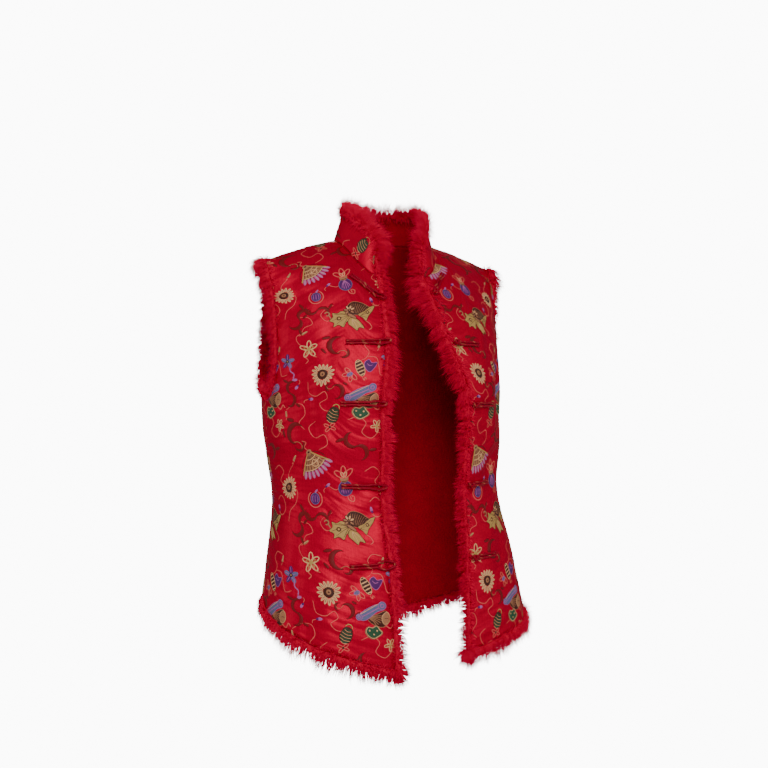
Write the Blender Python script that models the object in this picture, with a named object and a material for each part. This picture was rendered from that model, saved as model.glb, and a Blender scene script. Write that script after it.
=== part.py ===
"""A fur-edged vest with a stand collar and knotted frog closures, worn open.

Metres, +Z up, the front faces -Y and the wearer's right is -X. The origin lies between the two
points where the shoulder seams meet the collar, where the wearer's shoulders carry the vest.

Every piece is read from one smooth garment surface. A place on it is an angle round the body
(0 at the centre front, 90 at the side seam, 180 at the centre back) and a level (0 on the
shoulder ridge, 1 on the chest line, and more below it).
"""

import math

import bmesh
import bpy
import numpy as np
from mathutils import Vector

# Cloth and seams
WALL = 0.0026
SEAM = 0.0003

# Neck, shoulders and chest line
NECK_HALF = 0.073
RIDGE_HALF = 0.186
SHOULDER_LENGTH_X = 0.103
SHOULDER_DROP = 0.030
NECK_RISE = 0.004
NAPE_BACK = 0.030
NAPE_RISE = 0.010
RIDGE_Y = 0.006
CHEST_Z = -0.215
LEVEL = 0.215

# Rings round the body from the chest line down, with their depths in front of and behind
# the widest points, and those points' own y
RINGS = (
    # z, half_width, front, back, side_y
    (-0.215, 0.174, 0.140, 0.106, 0.010),
    (-0.275, 0.173, 0.130, 0.104, 0.004),
    (-0.350, 0.166, 0.114, 0.104, -0.008),
    (-0.430, 0.180, 0.114, 0.122, -0.026),
    (-0.510, 0.193, 0.116, 0.136, -0.035),
    (-0.620, 0.203, 0.120, 0.146, -0.042),
)
RING_SQUARENESS = 2.25

# How the cloth leaves the ridge and reaches the chest line: run towards the front or back,
# drop at the ridge, and the length of the upright pull at the chest line
FRONT_ROLL = (0.058, 0.012, 0.075)
BACK_ROLL = (0.052, 0.000, 0.090)
TIP_ROLL_SHARE = 0.32

# The cloth's centre front edges: their distance from the middle at each level
FRONT_EDGES = (
    # level, right, left
    (0.18, 0.036, 0.026),
    (0.45, 0.049, 0.031),
    (0.75, 0.061, 0.043),
    (1.00, 0.072, 0.065),
    (1.30, 0.070, 0.064),
    (1.65, 0.069, 0.061),
    (2.20, 0.069, 0.051),
    (2.80, 0.068, 0.043),
)

# Where the neckline, armholes, vents and hem lie
NECK_LEVEL_FRONT = 0.36
NECK_LEVEL_BACK = 0.16
TIP_ANGLE = 74.0
ARMHOLE_FRONT = (77.0, 0.45, 79.0)
ARMHOLE_BACK = (55.0, 0.50, 57.0)
SIDE_SEAM = (
    # level, angle
    (1.00, 91.0),
    (1.60, 97.0),
    (2.21, 105.0),
)
VENT_LEVEL = 2.21
HEM_LEVEL_FRONT = {-1: 2.65, 1: 2.57}
HEM_LEVEL_BACK = 2.52
HEM_SLOPE = 0.80
HEM_CORNER_POWER = 5.0

# Soft folds and darts. Half widths are degrees round the body and half lengths are levels
# down it; the lean is in degrees from upright.
FOLDS = (
    # side, angle, level, half_length, half_width, depth, lean
    (-1, 60.0, 0.98, 0.20, 4.0, 0.0045, 0.0),
    (-1, 70.0, 1.06, 0.14, 5.0, 0.0035, 62.0),
    (-1, 44.0, 1.16, 0.11, 6.0, 0.0030, 80.0),
    (-1, 38.0, 1.50, 0.10, 7.0, 0.0030, 78.0),
    (-1, 30.0, 1.78, 0.14, 5.0, 0.0030, 40.0),
    (1, 50.0, 0.96, 0.18, 4.0, 0.0045, 0.0),
    (1, 66.0, 1.08, 0.14, 5.0, 0.0035, -60.0),
    (1, 40.0, 1.50, 0.12, 6.0, 0.0030, -76.0),
    (-1, 128.0, 1.45, 0.12, 8.0, 0.0030, 80.0),
    (1, 134.0, 1.38, 0.12, 8.0, 0.0030, -82.0),
    (-1, 150.0, 1.62, 0.20, 6.0, 0.0025, 12.0),
    (1, 152.0, 1.66, 0.20, 6.0, 0.0025, -12.0),
)

# Collar: height, the share of it at its rounded front ends, and its lean towards the neck
COLLAR_HEIGHT = 0.040
COLLAR_END_SHARE = 0.35
COLLAR_ROUND = 0.028
COLLAR_LEAN = 0.30
COLLAR_UPRIGHT = 0.55

# Fur strips: reach out from the cloth's edge, thickness, and how uneven the tufts leave them
FRONT_REACHES = (
    # level, right, left
    (0.36, 0.019, 0.027),
    (0.60, 0.018, 0.025),
    (0.90, 0.016, 0.019),
    (1.25, 0.015, 0.015),
    (2.80, 0.015, 0.015),
)
HEM_REACH = 0.019
ARMHOLE_REACH = 0.012
TIP_EXTRA_REACH = 0.004
COLLAR_REACH = 0.013
COLLAR_FUR_START = 2
FUR_THICK = 0.010
FUR_GAP = 0.0004
TUFT_SHARE = 0.16
FUR_SECTION = (
    # outward, above, as shares of the reach and the thickness
    (0.00, -0.36),
    (0.00, 0.36),
    (0.45, 0.50),
    (0.86, 0.32),
    (1.00, -0.04),
    (0.80, -0.40),
    (0.42, -0.50),
)

# Frogs from the top: their level at the front edge, how much each rises towards the side in
# degrees, and how far the loop's eye opens on each side
FROGS = (
    # right_level, left_level, right_rise, left_rise, eye_half
    (0.50, 0.48, 46.0, 50.0, 0.0012),
    (0.72, 0.72, 2.0, 0.0, 0.0012),
    (1.04, 1.05, 0.0, 0.0, 0.0012),
    (1.55, 1.56, 1.0, 4.0, 0.0012),
    (2.02, 2.01, -2.0, 3.0, 0.0036),
)
CORD_RADIUS = 0.0017
CORD_GAP = 0.0004
FROG_LENGTH = 0.056
EYE_START = 0.016
EYE_END = -0.005
FUR_CLIMB = 0.0050
KNOT_RADIUS = 0.0056
KNOT_LOBES = 6
KNOT_LOBE_DEPTH = 0.07

# Grids: cells across and down each piece
FRONT_CELLS = (14, 30)
BACK_CELLS = (26, 26)
COLLAR_RISE_CELLS = 3
UNDERARM_SHARE = 0.42
NECK_SHARE = 0.40


def table_at(where, rows):
    """Every column after the first, read where the first column has that value, on a cubic."""
    rows = np.array(rows, float)
    order = np.argsort(rows[:, 0])
    keys, values = rows[order, 0], rows[order, 1:]
    slopes = np.gradient(values, keys, axis=0)
    where = np.clip(np.asarray(where, float), keys[0], keys[-1])
    below = np.clip(np.searchsorted(keys, where, side="right") - 1, 0, len(keys) - 2)
    width = keys[below + 1] - keys[below]
    share = ((where - keys[below]) / width)[..., None]
    width = width[..., None]
    start = 2 * share**3 - 3 * share**2 + 1
    leave = share**3 - 2 * share**2 + share
    arrive = share**3 - share**2
    return (
        start * values[below]
        + (1 - start) * values[below + 1]
        + leave * width * slopes[below]
        + arrive * width * slopes[below + 1]
    )


def ring_point(angle, z):
    """A point of the ring at that height, angles in radians from the centre front."""
    row = table_at(z, RINGS)
    half, front, back, side_y = (row[..., k] for k in range(4))
    power = 2 / RING_SQUARENESS
    across, ahead = np.sin(angle), np.cos(angle)
    x = half * np.sign(across) * np.abs(across) ** power
    depth = np.where(ahead > 0, front, back)
    y = side_y - depth * np.sign(ahead) * np.abs(ahead) ** power
    return np.stack([x, y, np.broadcast_to(z, x.shape)], -1)


def ridge_point(angle):
    """A point of the shoulder ridge, from the neck's middle out past the tip."""
    x = RIDGE_HALF * np.sin(angle)
    outward = (np.abs(x) - NECK_HALF) / SHOULDER_LENGTH_X
    drop = SHOULDER_DROP * np.maximum(outward, 0) ** 1.25
    rise = NECK_RISE * np.maximum(-outward, 0)
    nape = np.where(angle > math.pi / 2, np.maximum(1 - (x / NECK_HALF) ** 2, 0), 0)
    return np.stack([x, RIDGE_Y + NAPE_BACK * nape, rise + NAPE_RISE * nape - drop], -1)


def smooth_body(angle, level):
    """The garment surface before its folds, angles in degrees, for the wearer's left side."""
    angle, level = np.broadcast_arrays(np.asarray(angle, float), np.asarray(level, float))
    over = level < 0
    angle = np.radians(np.where(over, 180 - angle, angle))
    level = np.abs(level)
    below = ring_point(angle, CHEST_Z - LEVEL * np.maximum(level - 1, 0))
    chest = ring_point(angle, np.full(angle.shape, CHEST_Z))
    top = ridge_point(angle)
    front = (np.cos(angle) > 0)[..., None]
    run, drop, pull = np.moveaxis(np.where(front, FRONT_ROLL, BACK_ROLL), -1, 0)
    outward = np.clip((top[..., 0] - NECK_HALF) / SHOULDER_LENGTH_X, 0, 1)
    run = run * (1 - (1 - TIP_ROLL_SHARE) * outward**1.5)
    away = np.where(front[..., 0], -1.0, 1.0) * run
    leave = top + np.stack([0 * away, away, -drop], -1)
    arrive = chest + np.stack([0 * pull, 0 * pull, pull], -1)
    t = np.clip(level, 0, 1)[..., None]
    upper = (
        (1 - t) ** 3 * top
        + 3 * (1 - t) ** 2 * t * leave
        + 3 * (1 - t) * t**2 * arrive
        + t**3 * chest
    )
    return np.where((level > 1)[..., None], below, upper)


def body_normal(angle, level):
    """The outward direction on the smooth surface, the same on both sides of each seam."""
    step_angle, step_level = 1.0, 0.01
    round_body = smooth_body(angle + step_angle, level) - smooth_body(angle - step_angle, level)
    down = smooth_body(angle, level + step_level) - smooth_body(angle, level - step_level)
    out = np.cross(down, round_body)
    return out / np.linalg.norm(out, axis=-1, keepdims=True)


def fold_depth(side, angle, level):
    """How far the cloth sinks in at its folds and darts."""
    depth = np.zeros(np.broadcast(angle, level).shape)
    for fold_side, at_angle, at_level, half_length, half_width, deep, lean in FOLDS:
        if fold_side != side:
            continue
        tilt = math.radians(lean)
        across = (angle - at_angle) / 60.0
        along = level - at_level
        length = along * math.cos(tilt) + across * math.sin(tilt)
        width = (across * math.cos(tilt) - along * math.sin(tilt)) * 60.0
        depth += deep * np.exp(-((length / half_length) ** 2) - (width / half_width) ** 2)
    return depth


def cloth(side, angle, level, raised=0.0):
    """A point of the cloth's outer face, or that much above it. Side is -1 for the right."""
    angle, level = np.broadcast_arrays(np.asarray(angle, float), np.asarray(level, float))
    out = body_normal(angle, level)
    lift = raised - fold_depth(side, angle, level)
    point = smooth_body(angle, level) + out * np.expand_dims(lift, -1)
    return point * (side, 1, 1)


def cloth_normal(side, angle, level):
    return body_normal(np.asarray(angle, float), np.asarray(level, float)) * (side, 1, 1)


def angle_at_x(x, level):
    """The angle on the front where the surface is that far from the middle."""
    low, high = np.zeros(np.shape(level)), np.full(np.shape(level), 89.0)
    for _ in range(30):
        middle = (low + high) / 2
        inside = smooth_body(middle, level)[..., 0] < x
        low, high = np.where(inside, middle, low), np.where(inside, high, middle)
    return (low + high) / 2


def front_edge_angle(side, level):
    level = np.asarray(level, float)
    column = 0 if side < 0 else 1
    return angle_at_x(table_at(level, FRONT_EDGES)[..., column], level)


def bezier(points, t):
    """A cubic through four places of the angle and level plane."""
    t = np.asarray(t, float)[..., None]
    a, b, c, d = (np.array(p, float) for p in points)
    return (1 - t) ** 3 * a + 3 * (1 - t) ** 2 * t * b + 3 * (1 - t) * t**2 * c + t**3 * d


def side_seam_angle(level):
    return table_at(level, SIDE_SEAM)[..., 0]


def neck_angle():
    return math.degrees(math.asin(NECK_HALF / RIDGE_HALF))


def neckline_front(side, t):
    """From the centre front to the shoulder seam, as angle and level."""
    turn = np.radians(90 * (1 - np.asarray(t, float)))
    edge = float(front_edge_angle(side, [NECK_LEVEL_FRONT])[0])
    angle = edge + (neck_angle() - edge) * np.cos(turn)
    return np.stack([angle, NECK_LEVEL_FRONT * np.sin(turn)], -1)


def neckline_back(t):
    """From the shoulder seam to the centre back, as angle and level."""
    turn = np.radians(90 * np.asarray(t, float))
    angle = 180 - neck_angle() * np.cos(turn)
    return np.stack([angle, NECK_LEVEL_BACK * np.sin(turn)], -1)


def armhole(t, front):
    """From the shoulder tip to the underarm, as angle and level."""
    upper_angle, upper_level, lower_angle = ARMHOLE_FRONT if front else ARMHOLE_BACK
    seam = side_seam_angle(1.0) if front else 180 - side_seam_angle(1.0)
    line = bezier(
        ((TIP_ANGLE, 0.0), (upper_angle, upper_level), (lower_angle, 1.0), (seam, 1.0)), t
    )
    if not front:
        line[..., 0] = 180 - line[..., 0]
    return line


def hem_drop(t):
    """How far up the hem has come, 0 at the centre and 1 at the vent, over the panel's width."""
    t = np.asarray(t, float)
    corner = 1 - np.sqrt(1 - t**HEM_CORNER_POWER)
    return HEM_SLOPE * t + (1 - HEM_SLOPE) * corner


def hem_front(side, t):
    """From the centre front corner to the vent, as angle and level."""
    t = np.asarray(t, float)
    lowest = HEM_LEVEL_FRONT[side]
    start = float(front_edge_angle(side, [lowest])[0])
    level = lowest - (lowest - VENT_LEVEL) * hem_drop(t)
    return np.stack([start + (side_seam_angle(VENT_LEVEL) - start) * t, level], -1)


def hem_back(t):
    """From the centre back to the vent, as angle and level."""
    t = np.asarray(t, float)
    level = HEM_LEVEL_BACK - (HEM_LEVEL_BACK - VENT_LEVEL) * hem_drop(t)
    return np.stack([180 - (180 - side_seam_angle(VENT_LEVEL)) * t, level], -1)


def blended(left, right, top, bottom):
    """A grid of places inside four edges that share their corners."""
    u = np.linspace(0, 1, len(top))[:, None, None]
    v = np.linspace(0, 1, len(left))[None, :, None]
    sides = (1 - u) * left[None] + u * right[None]
    ends = (1 - v) * top[:, None] + v * bottom[:, None]
    corners = (
        (1 - u) * (1 - v) * left[0]
        + u * (1 - v) * right[0]
        + (1 - u) * v * left[-1]
        + u * v * right[-1]
    )
    return sides + ends - corners


def shares(start, end, cells):
    return np.linspace(start, end, cells + 1)


def front_places(side):
    """Places of a front panel: across from the edge to the side, and down."""
    across, down = FRONT_CELLS
    upper = round(down * UNDERARM_SHARE)
    neck = round(across * NECK_SHARE)
    levels = np.concatenate(
        [
            shares(NECK_LEVEL_FRONT, 1.0, upper),
            shares(1.0, HEM_LEVEL_FRONT[side], down - upper)[1:],
        ]
    )
    left = np.stack([front_edge_angle(side, levels), levels], -1)
    armhole_side = armhole(shares(0, 1, upper), True)
    seam_levels = shares(1.0, VENT_LEVEL, down - upper)[1:]
    right = np.concatenate(
        [armhole_side, np.stack([side_seam_angle(seam_levels), seam_levels], -1)]
    )
    shoulder = shares(neck_angle(), TIP_ANGLE, across - neck)[1:]
    top = np.concatenate(
        [
            neckline_front(side, shares(0, 1, neck)),
            np.stack([shoulder, np.zeros(len(shoulder))], -1),
        ]
    )
    bottom = hem_front(side, 1 - (1 - shares(0, 1, across)) ** 1.35)
    return blended(left, right, top, bottom)


def back_half_places():
    """Places of half the back: across from the centre back to the side, and down."""
    across, down = BACK_CELLS[0] // 2, BACK_CELLS[1]
    upper = round(down * UNDERARM_SHARE)
    neck = round(across * NECK_SHARE)
    levels = np.concatenate(
        [
            shares(NECK_LEVEL_BACK, 1.0, upper),
            shares(1.0, HEM_LEVEL_BACK, down - upper)[1:],
        ]
    )
    left = np.stack([np.full(len(levels), 180.0), levels], -1)
    seam_levels = shares(1.0, VENT_LEVEL, down - upper)[1:]
    right = np.concatenate(
        [
            armhole(shares(0, 1, upper), False),
            np.stack([side_seam_angle(seam_levels), seam_levels], -1),
        ]
    )
    shoulder = shares(180 - neck_angle(), 180 - TIP_ANGLE, across - neck)[1:]
    top = np.concatenate(
        [
            neckline_back(shares(1, 0, neck)),
            np.stack([shoulder, np.zeros(len(shoulder))], -1),
        ]
    )
    bottom = hem_back(1 - (1 - shares(0, 1, across)) ** 1.35)
    return blended(left, right, top, bottom)


def collection_for(name):
    group = bpy.data.collections.new(name)
    bpy.context.scene.collection.children.link(group)
    return group


def material(name, colour, roughness):
    made = bpy.data.materials.new(name)
    made.use_nodes = True
    shader = made.node_tree.nodes["Principled BSDF"]
    shader.inputs["Base Color"].default_value = (*colour, 1.0)
    shader.inputs["Roughness"].default_value = roughness
    shader.inputs["Metallic"].default_value = 0.0
    return made


def piece(name, mesh, look, group):
    """Puts a closed mesh in the vest, its faces pointing out."""
    body = bmesh.new()
    body.from_mesh(mesh)
    bmesh.ops.recalc_face_normals(body, faces=body.faces)
    body.to_mesh(mesh)
    body.free()
    mesh.shade_smooth()
    mesh.set_sharp_from_angle(angle=math.radians(50))
    mesh.materials.append(look)
    made = bpy.data.objects.new(name, mesh)
    group.objects.link(made)
    return made


def wall(name, outer, inner):
    """A closed wall between two grids of points of the same size."""
    across, down = outer.shape[:2]
    points = np.concatenate([outer.reshape(-1, 3), inner.reshape(-1, 3)])

    def index(i, j, layer):
        return layer * across * down + i * down + j

    faces = []
    for i in range(across - 1):
        for j in range(down - 1):
            for layer in (0, 1):
                ring = [
                    index(i, j, layer),
                    index(i + 1, j, layer),
                    index(i + 1, j + 1, layer),
                    index(i, j + 1, layer),
                ]
                faces.append(ring if layer == 0 else ring[::-1])
    border = [(i, 0) for i in range(across - 1)]
    border += [(across - 1, j) for j in range(down - 1)]
    border += [(i, down - 1) for i in range(across - 1, 0, -1)]
    border += [(0, j) for j in range(down - 1, 0, -1)]
    for here, there in zip(border, border[1:] + border[:1]):
        faces.append(
            [index(*there, 0), index(*here, 0), index(*here, 1), index(*there, 1)]
        )
    mesh = bpy.data.meshes.new(name)
    mesh.from_pydata(points.tolist(), [], faces)
    return mesh


def loft(name, rings, joined=False):
    """A closed body through rings of points, capped at both ends or joined end to end."""
    count, sides = rings.shape[:2]
    points = rings.reshape(-1, 3).tolist()
    faces = []
    for i in range(count if joined else count - 1):
        here, there = i * sides, (i + 1) % count * sides
        for j in range(sides):
            k = (j + 1) % sides
            faces.append([here + j, here + k, there + k, there + j])
    if not joined:
        faces.append(list(range(sides))[::-1])
        faces.append([(count - 1) * sides + j for j in range(sides)])
    mesh = bpy.data.meshes.new(name)
    mesh.from_pydata(points, [], faces)
    return mesh


def unit(vectors):
    return vectors / np.linalg.norm(vectors, axis=-1, keepdims=True)


def panel_faces(side, places):
    """The outer and inner face of a panel, as grids of points."""
    angle, level = places[..., 0], places[..., 1]
    outer = cloth(side, angle, level)
    return outer, outer - cloth_normal(side, angle, level) * WALL


def drawn_in(faces, edge, part):
    """Moves a stretch of one edge inwards by half the gap of a seam, on both faces."""
    for grid in faces:
        line, beside = (grid[-1], grid[-2]) if edge == "side" else (grid[:, 0], grid[:, 1])
        line[part] += unit(beside - line)[part] * SEAM / 2


def front_faces(side):
    faces = panel_faces(side, front_places(side))
    underarm = round(FRONT_CELLS[1] * UNDERARM_SHARE)
    neck = round(FRONT_CELLS[0] * NECK_SHARE)
    drawn_in(faces, "side", slice(underarm, None))
    drawn_in(faces, "top", slice(neck, None))
    return faces


def back_faces():
    """The whole back from the right side to the left, its two halves joined at the middle."""
    underarm = round(BACK_CELLS[1] * UNDERARM_SHARE)
    neck = round(BACK_CELLS[0] // 2 * NECK_SHARE)
    halves = []
    for side in (-1, 1):
        faces = panel_faces(side, back_half_places())
        drawn_in(faces, "side", slice(underarm, None))
        drawn_in(faces, "top", slice(neck, None))
        halves.append(faces)
    return [np.concatenate([right[::-1], left[1:]]) for right, left in zip(*halves)]


def neck_line():
    """The collar seam from the right front edge round the back to the left front edge."""
    front = shares(0, 1, round(FRONT_CELLS[0] * NECK_SHARE))
    back = shares(0, 1, round(BACK_CELLS[0] // 2 * NECK_SHARE))
    right = np.concatenate([neckline_front(-1, front), neckline_back(back)[1:]])
    left = np.concatenate([neckline_front(1, front), neckline_back(back)[1:]])
    points = [cloth(-1, right[:, 0], right[:, 1]), cloth(1, left[:, 0], left[:, 1])[::-1]]
    return np.concatenate([points[0], points[1][1:]])


def collar_frame():
    """The seam line with the collar's rising and outward directions and its height."""
    line = neck_line()
    along = unit(np.gradient(line, axis=0))
    outward = unit(np.cross(np.array([0.0, 0.0, 1.0]), along))
    rising = unit(np.cross(along, outward))
    rising *= np.sign(rising[:, 2:])
    centre = line.mean(0)
    outward *= np.sign(((line - centre) * outward).sum(-1, keepdims=True))
    up = np.array([0.0, 0.0, 1.0])
    rise = unit(rising * (1 - COLLAR_UPRIGHT) + up * COLLAR_UPRIGHT - outward * COLLAR_LEAN)
    face = unit(np.cross(along, rise))
    face *= np.sign((face * outward).sum(-1, keepdims=True))
    steps = np.concatenate([[0], np.cumsum(np.linalg.norm(np.diff(line, axis=0), axis=1))])
    from_end = np.minimum(steps, steps[-1] - steps)
    round_share = np.clip(from_end / COLLAR_ROUND, 0, 1)
    share = COLLAR_END_SHARE + (1 - COLLAR_END_SHARE) * np.sqrt(1 - (1 - round_share) ** 2)
    return line, rise, face, COLLAR_HEIGHT * share


def collar_faces():
    line, rise, face, height = collar_frame()
    up = shares(0, 1, COLLAR_RISE_CELLS)[None, :, None]
    outer = line[:, None] + rise[:, None] * (SEAM + height[:, None, None] * up)
    return outer, outer - face[:, None] * WALL


def tufted(count, seed):
    """Uneven shares near 1, one for each station along a strip of fur."""
    noise = np.random.default_rng(seed)
    at = np.arange(count)
    waves = sum(
        np.sin(at * pace + phase)
        for pace, phase in zip((0.9, 1.7, 2.6), noise.uniform(0, 2 * math.pi, 3))
    )
    return 1 + TUFT_SHARE * (0.45 * waves + noise.uniform(-0.6, 0.6, count))


def halfway(line):
    """The line with a point added in the middle of each straight stretch."""
    middles = (line[1:] + line[:-1]) / 2
    full = np.empty((len(line) * 2 - 1, *line.shape[1:]))
    full[0::2] = line
    full[1::2] = middles
    return full


def fur_rings(outer, inner, outward, reach, seed):
    """Sections of a fur strip beside a cloth edge, given by its two faces' edge points."""
    middle = (outer + inner) / 2
    above = unit(outer - inner)
    section = np.array(FUR_SECTION)
    reach = np.maximum(reach * tufted(len(outer), seed), 0.0012)
    thick = FUR_THICK * tufted(len(outer), seed + 50) * np.clip(reach / 0.010, 0.35, 1)
    return (
        middle[:, None]
        + outward[:, None] * (FUR_GAP + section[None, :, :1] * reach[:, None, None])
        + above[:, None] * (section[None, :, 1:] * thick[:, None, None])
    )


def away_from(edge, beside, above):
    """The direction in the cloth's plane from the grid line beside the edge to the edge."""
    along = unit(np.gradient(edge, axis=0))
    out = unit(np.cross(along, above))
    return out * np.sign((out * (edge - beside)).sum())


def front_fur_rings(side, faces, seed):
    """From the neck down the front edge, round the corner and along the hem to the vent."""
    outer, inner = faces
    above = unit(outer - inner)
    down = away_from(outer[0], outer[1], above[0])
    hem = away_from(outer[:, -1], outer[:, -2], above[:, -1])
    corner = [unit(down[-1] * (1 - turn) + hem[0] * turn) for turn in (0.0, 0.33, 0.67, 1.0)]
    last = -1
    lines = []
    for grid in (outer, inner):
        edge = halfway(grid[0])
        bottom = halfway(grid[:, -1])[:last]
        lines.append(np.concatenate([edge[:-1], np.repeat(edge[-1:], 4, 0), bottom[1:]]))
    out = np.concatenate([halfway(down)[:-1], corner, halfway(hem)[1:last]])
    levels = halfway(front_places(side)[0, :, 1])[:-1]
    column = 0 if side < 0 else 1
    upright = table_at(levels, FRONT_REACHES)[:, column]
    reach = np.concatenate(
        [
            upright,
            np.linspace(upright[-1], HEM_REACH, 4),
            np.full(len(lines[0]) - len(outer[0]) * 2 - 2, HEM_REACH),
        ]
    )
    room = vent_room(side, lines[0])
    return fur_rings(*lines, unit(out), np.minimum(reach, room), seed)


def vent_room(side, line):
    """How far fur may reach from each point before it crosses the line below the side seam."""
    levels = np.linspace(VENT_LEVEL, VENT_LEVEL + 0.35, 36)
    middle = cloth(side, np.full(36, side_seam_angle(VENT_LEVEL)), levels)
    gap = np.linalg.norm(line[:, None] - middle[None], axis=-1).min(1)
    return gap * 0.62


def back_fur_rings(faces, seed):
    """Along the back hem from the right vent to the left one."""
    outer, inner = faces
    above = unit(outer - inner)
    out = away_from(outer[:, -1], outer[:, -2], above[:, -1])
    lines = [halfway(grid[:, -1])[1:-1] for grid in faces]
    room = np.minimum(vent_room(-1, lines[0]), vent_room(1, lines[0]))
    reach = np.minimum(np.full(len(lines[0]), HEM_REACH), room)
    return fur_rings(*lines, unit(halfway(out)[1:-1]), reach, seed)


def armhole_fur_rings(side, front, back, seed):
    """All round an armhole: up the front from the underarm, over the tip and down the back."""
    front_rows = round(FRONT_CELLS[1] * UNDERARM_SHARE) + 1
    back_rows = round(BACK_CELLS[1] * UNDERARM_SHARE) + 1
    lines = []
    for face in (0, 1):
        up_front = front[face][-1, :front_rows][::-1]
        down_back = back[face][0 if side < 0 else -1, :back_rows]
        tip = (up_front[-1] + down_back[0]) / 2
        underarm = (up_front[0] + down_back[-1]) / 2
        loop = np.concatenate([[underarm], up_front[1:-1], [tip], down_back[1:-1], [underarm]])
        lines.append(halfway(loop)[:-1])
    outer, inner = lines
    above = unit(outer - inner)
    along = unit(np.roll(outer, -1, axis=0) - np.roll(outer, 1, axis=0))
    out = unit(np.cross(along, above))
    out *= np.sign(((outer.mean(0) - outer) * out).sum())
    tip_index = 2 * (front_rows - 1)
    from_tip = np.linalg.norm(outer - outer[tip_index], axis=-1)
    reach = ARMHOLE_REACH + TIP_EXTRA_REACH * np.exp(-((from_tip / 0.045) ** 2))
    return fur_rings(outer, inner, out, reach, seed)


def collar_fur_rings(faces, seed):
    """Up the collar's right front end, round its top edge and down the left end."""
    outer, inner = faces
    lines = []
    for grid in faces:
        right_end, top, left_end = grid[0], grid[:, -1], grid[-1][::-1]
        line = halfway(np.concatenate([right_end[:-1], top, left_end[1:]]))
        lines.append(line[COLLAR_FUR_START:-COLLAR_FUR_START])
    above = unit(lines[0] - lines[1])
    along = unit(np.gradient(lines[0], axis=0))
    out = unit(np.cross(along, above))
    out *= np.sign(out[len(out) // 2, 2])
    return fur_rings(*lines, out, np.full(len(out), COLLAR_REACH), seed)


def near_edge(side, level, across, up, raised):
    """Points of the cloth that far from its front edge and that far above the given level."""
    across, up = np.asarray(across, float), np.asarray(up, float)
    at = np.full(across.shape, level)
    edge = front_edge_angle(side, at)
    step = 1.0
    start = smooth_body(edge, at)
    per_degree = np.linalg.norm(smooth_body(edge + step, at) - start, axis=-1) / step
    per_level = np.linalg.norm(smooth_body(edge, at + 0.05) - start, axis=-1) / 0.05
    places = edge + across / per_degree, at - up / per_level
    shift = front_edge_angle(side, places[1]) - edge
    return cloth(side, places[0] + shift, places[1], raised)


def smoothstep(x):
    x = np.clip(x, 0, 1)
    return x * x * (3 - 2 * x)


def cord_lane(t, eye_half):
    """The half gap between a frog's two runs, t from its far end to the front edge."""
    eye = np.clip((EYE_START - t) / (EYE_START - EYE_END), 0, 1)
    return CORD_RADIUS + CORD_GAP / 2 + eye_half * np.sin(math.pi * np.minimum(eye, 0.999)) ** 0.8


def frog_path(side, level, rise, start, end, eye_half):
    """The folded cord's centre line: out along one run, round its end, and back."""
    run = np.linspace(FROG_LENGTH, start, 8)
    eye = np.linspace(start, end + 0.002, 7)[1:] if eye_half else np.array([])
    out = np.concatenate([run, eye])
    lane = cord_lane(out, eye_half)
    turn = np.array([math.radians(d) for d in (60, 20, -20, -60)])
    last = lane[-1]
    across = np.concatenate([out, out[-1] - np.cos(turn) * last, out[::-1]])
    beside = np.concatenate([lane, np.sin(turn) * last, -lane[::-1]])
    tilt = math.radians(rise)
    along = across * math.cos(tilt) - beside * math.sin(tilt)
    up = across * math.sin(tilt) + beside * math.cos(tilt)
    raised = CORD_RADIUS + 2 * SEAM + FUR_CLIMB * smoothstep((0.008 - across) / 0.010)
    return near_edge(side, level, along, up, raised)


def cord(name, path, look, group):
    """A round cord along a path, with closed ends."""
    curve = bpy.data.curves.new(name, "CURVE")
    curve.dimensions = "3D"
    curve.bevel_depth = CORD_RADIUS
    curve.bevel_resolution = 1
    curve.use_fill_caps = True
    spline = curve.splines.new("POLY")
    spline.points.add(len(path) - 1)
    for point, place in zip(spline.points, path):
        point.co = (*place, 1.0)
    curve.materials.append(look)
    made = bpy.data.objects.new(name, curve)
    group.objects.link(made)
    return made


def knot(name, side, level, rise, look, group):
    """A ball knot beside the front edge, its surface in soft lobes."""
    tilt = math.radians(rise)
    across = KNOT_RADIUS + 2 * SEAM
    raised = KNOT_RADIUS * (1 + KNOT_LOBE_DEPTH) + SEAM
    place = near_edge(side, level, across * math.cos(tilt), across * math.sin(tilt), raised)
    body = bmesh.new()
    bmesh.ops.create_uvsphere(body, u_segments=12, v_segments=8, radius=KNOT_RADIUS)
    for corner in body.verts:
        turn = math.atan2(corner.co.y, corner.co.x)
        height = corner.co.z / KNOT_RADIUS
        lobe = math.cos(KNOT_LOBES / 2 * turn + 2.4 * height) * (1 - height**2)
        corner.co *= 1 + KNOT_LOBE_DEPTH * lobe
        corner.co += Vector(place)
    mesh = bpy.data.meshes.new(name)
    body.to_mesh(mesh)
    body.free()
    return piece(name, mesh, look, group)


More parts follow.
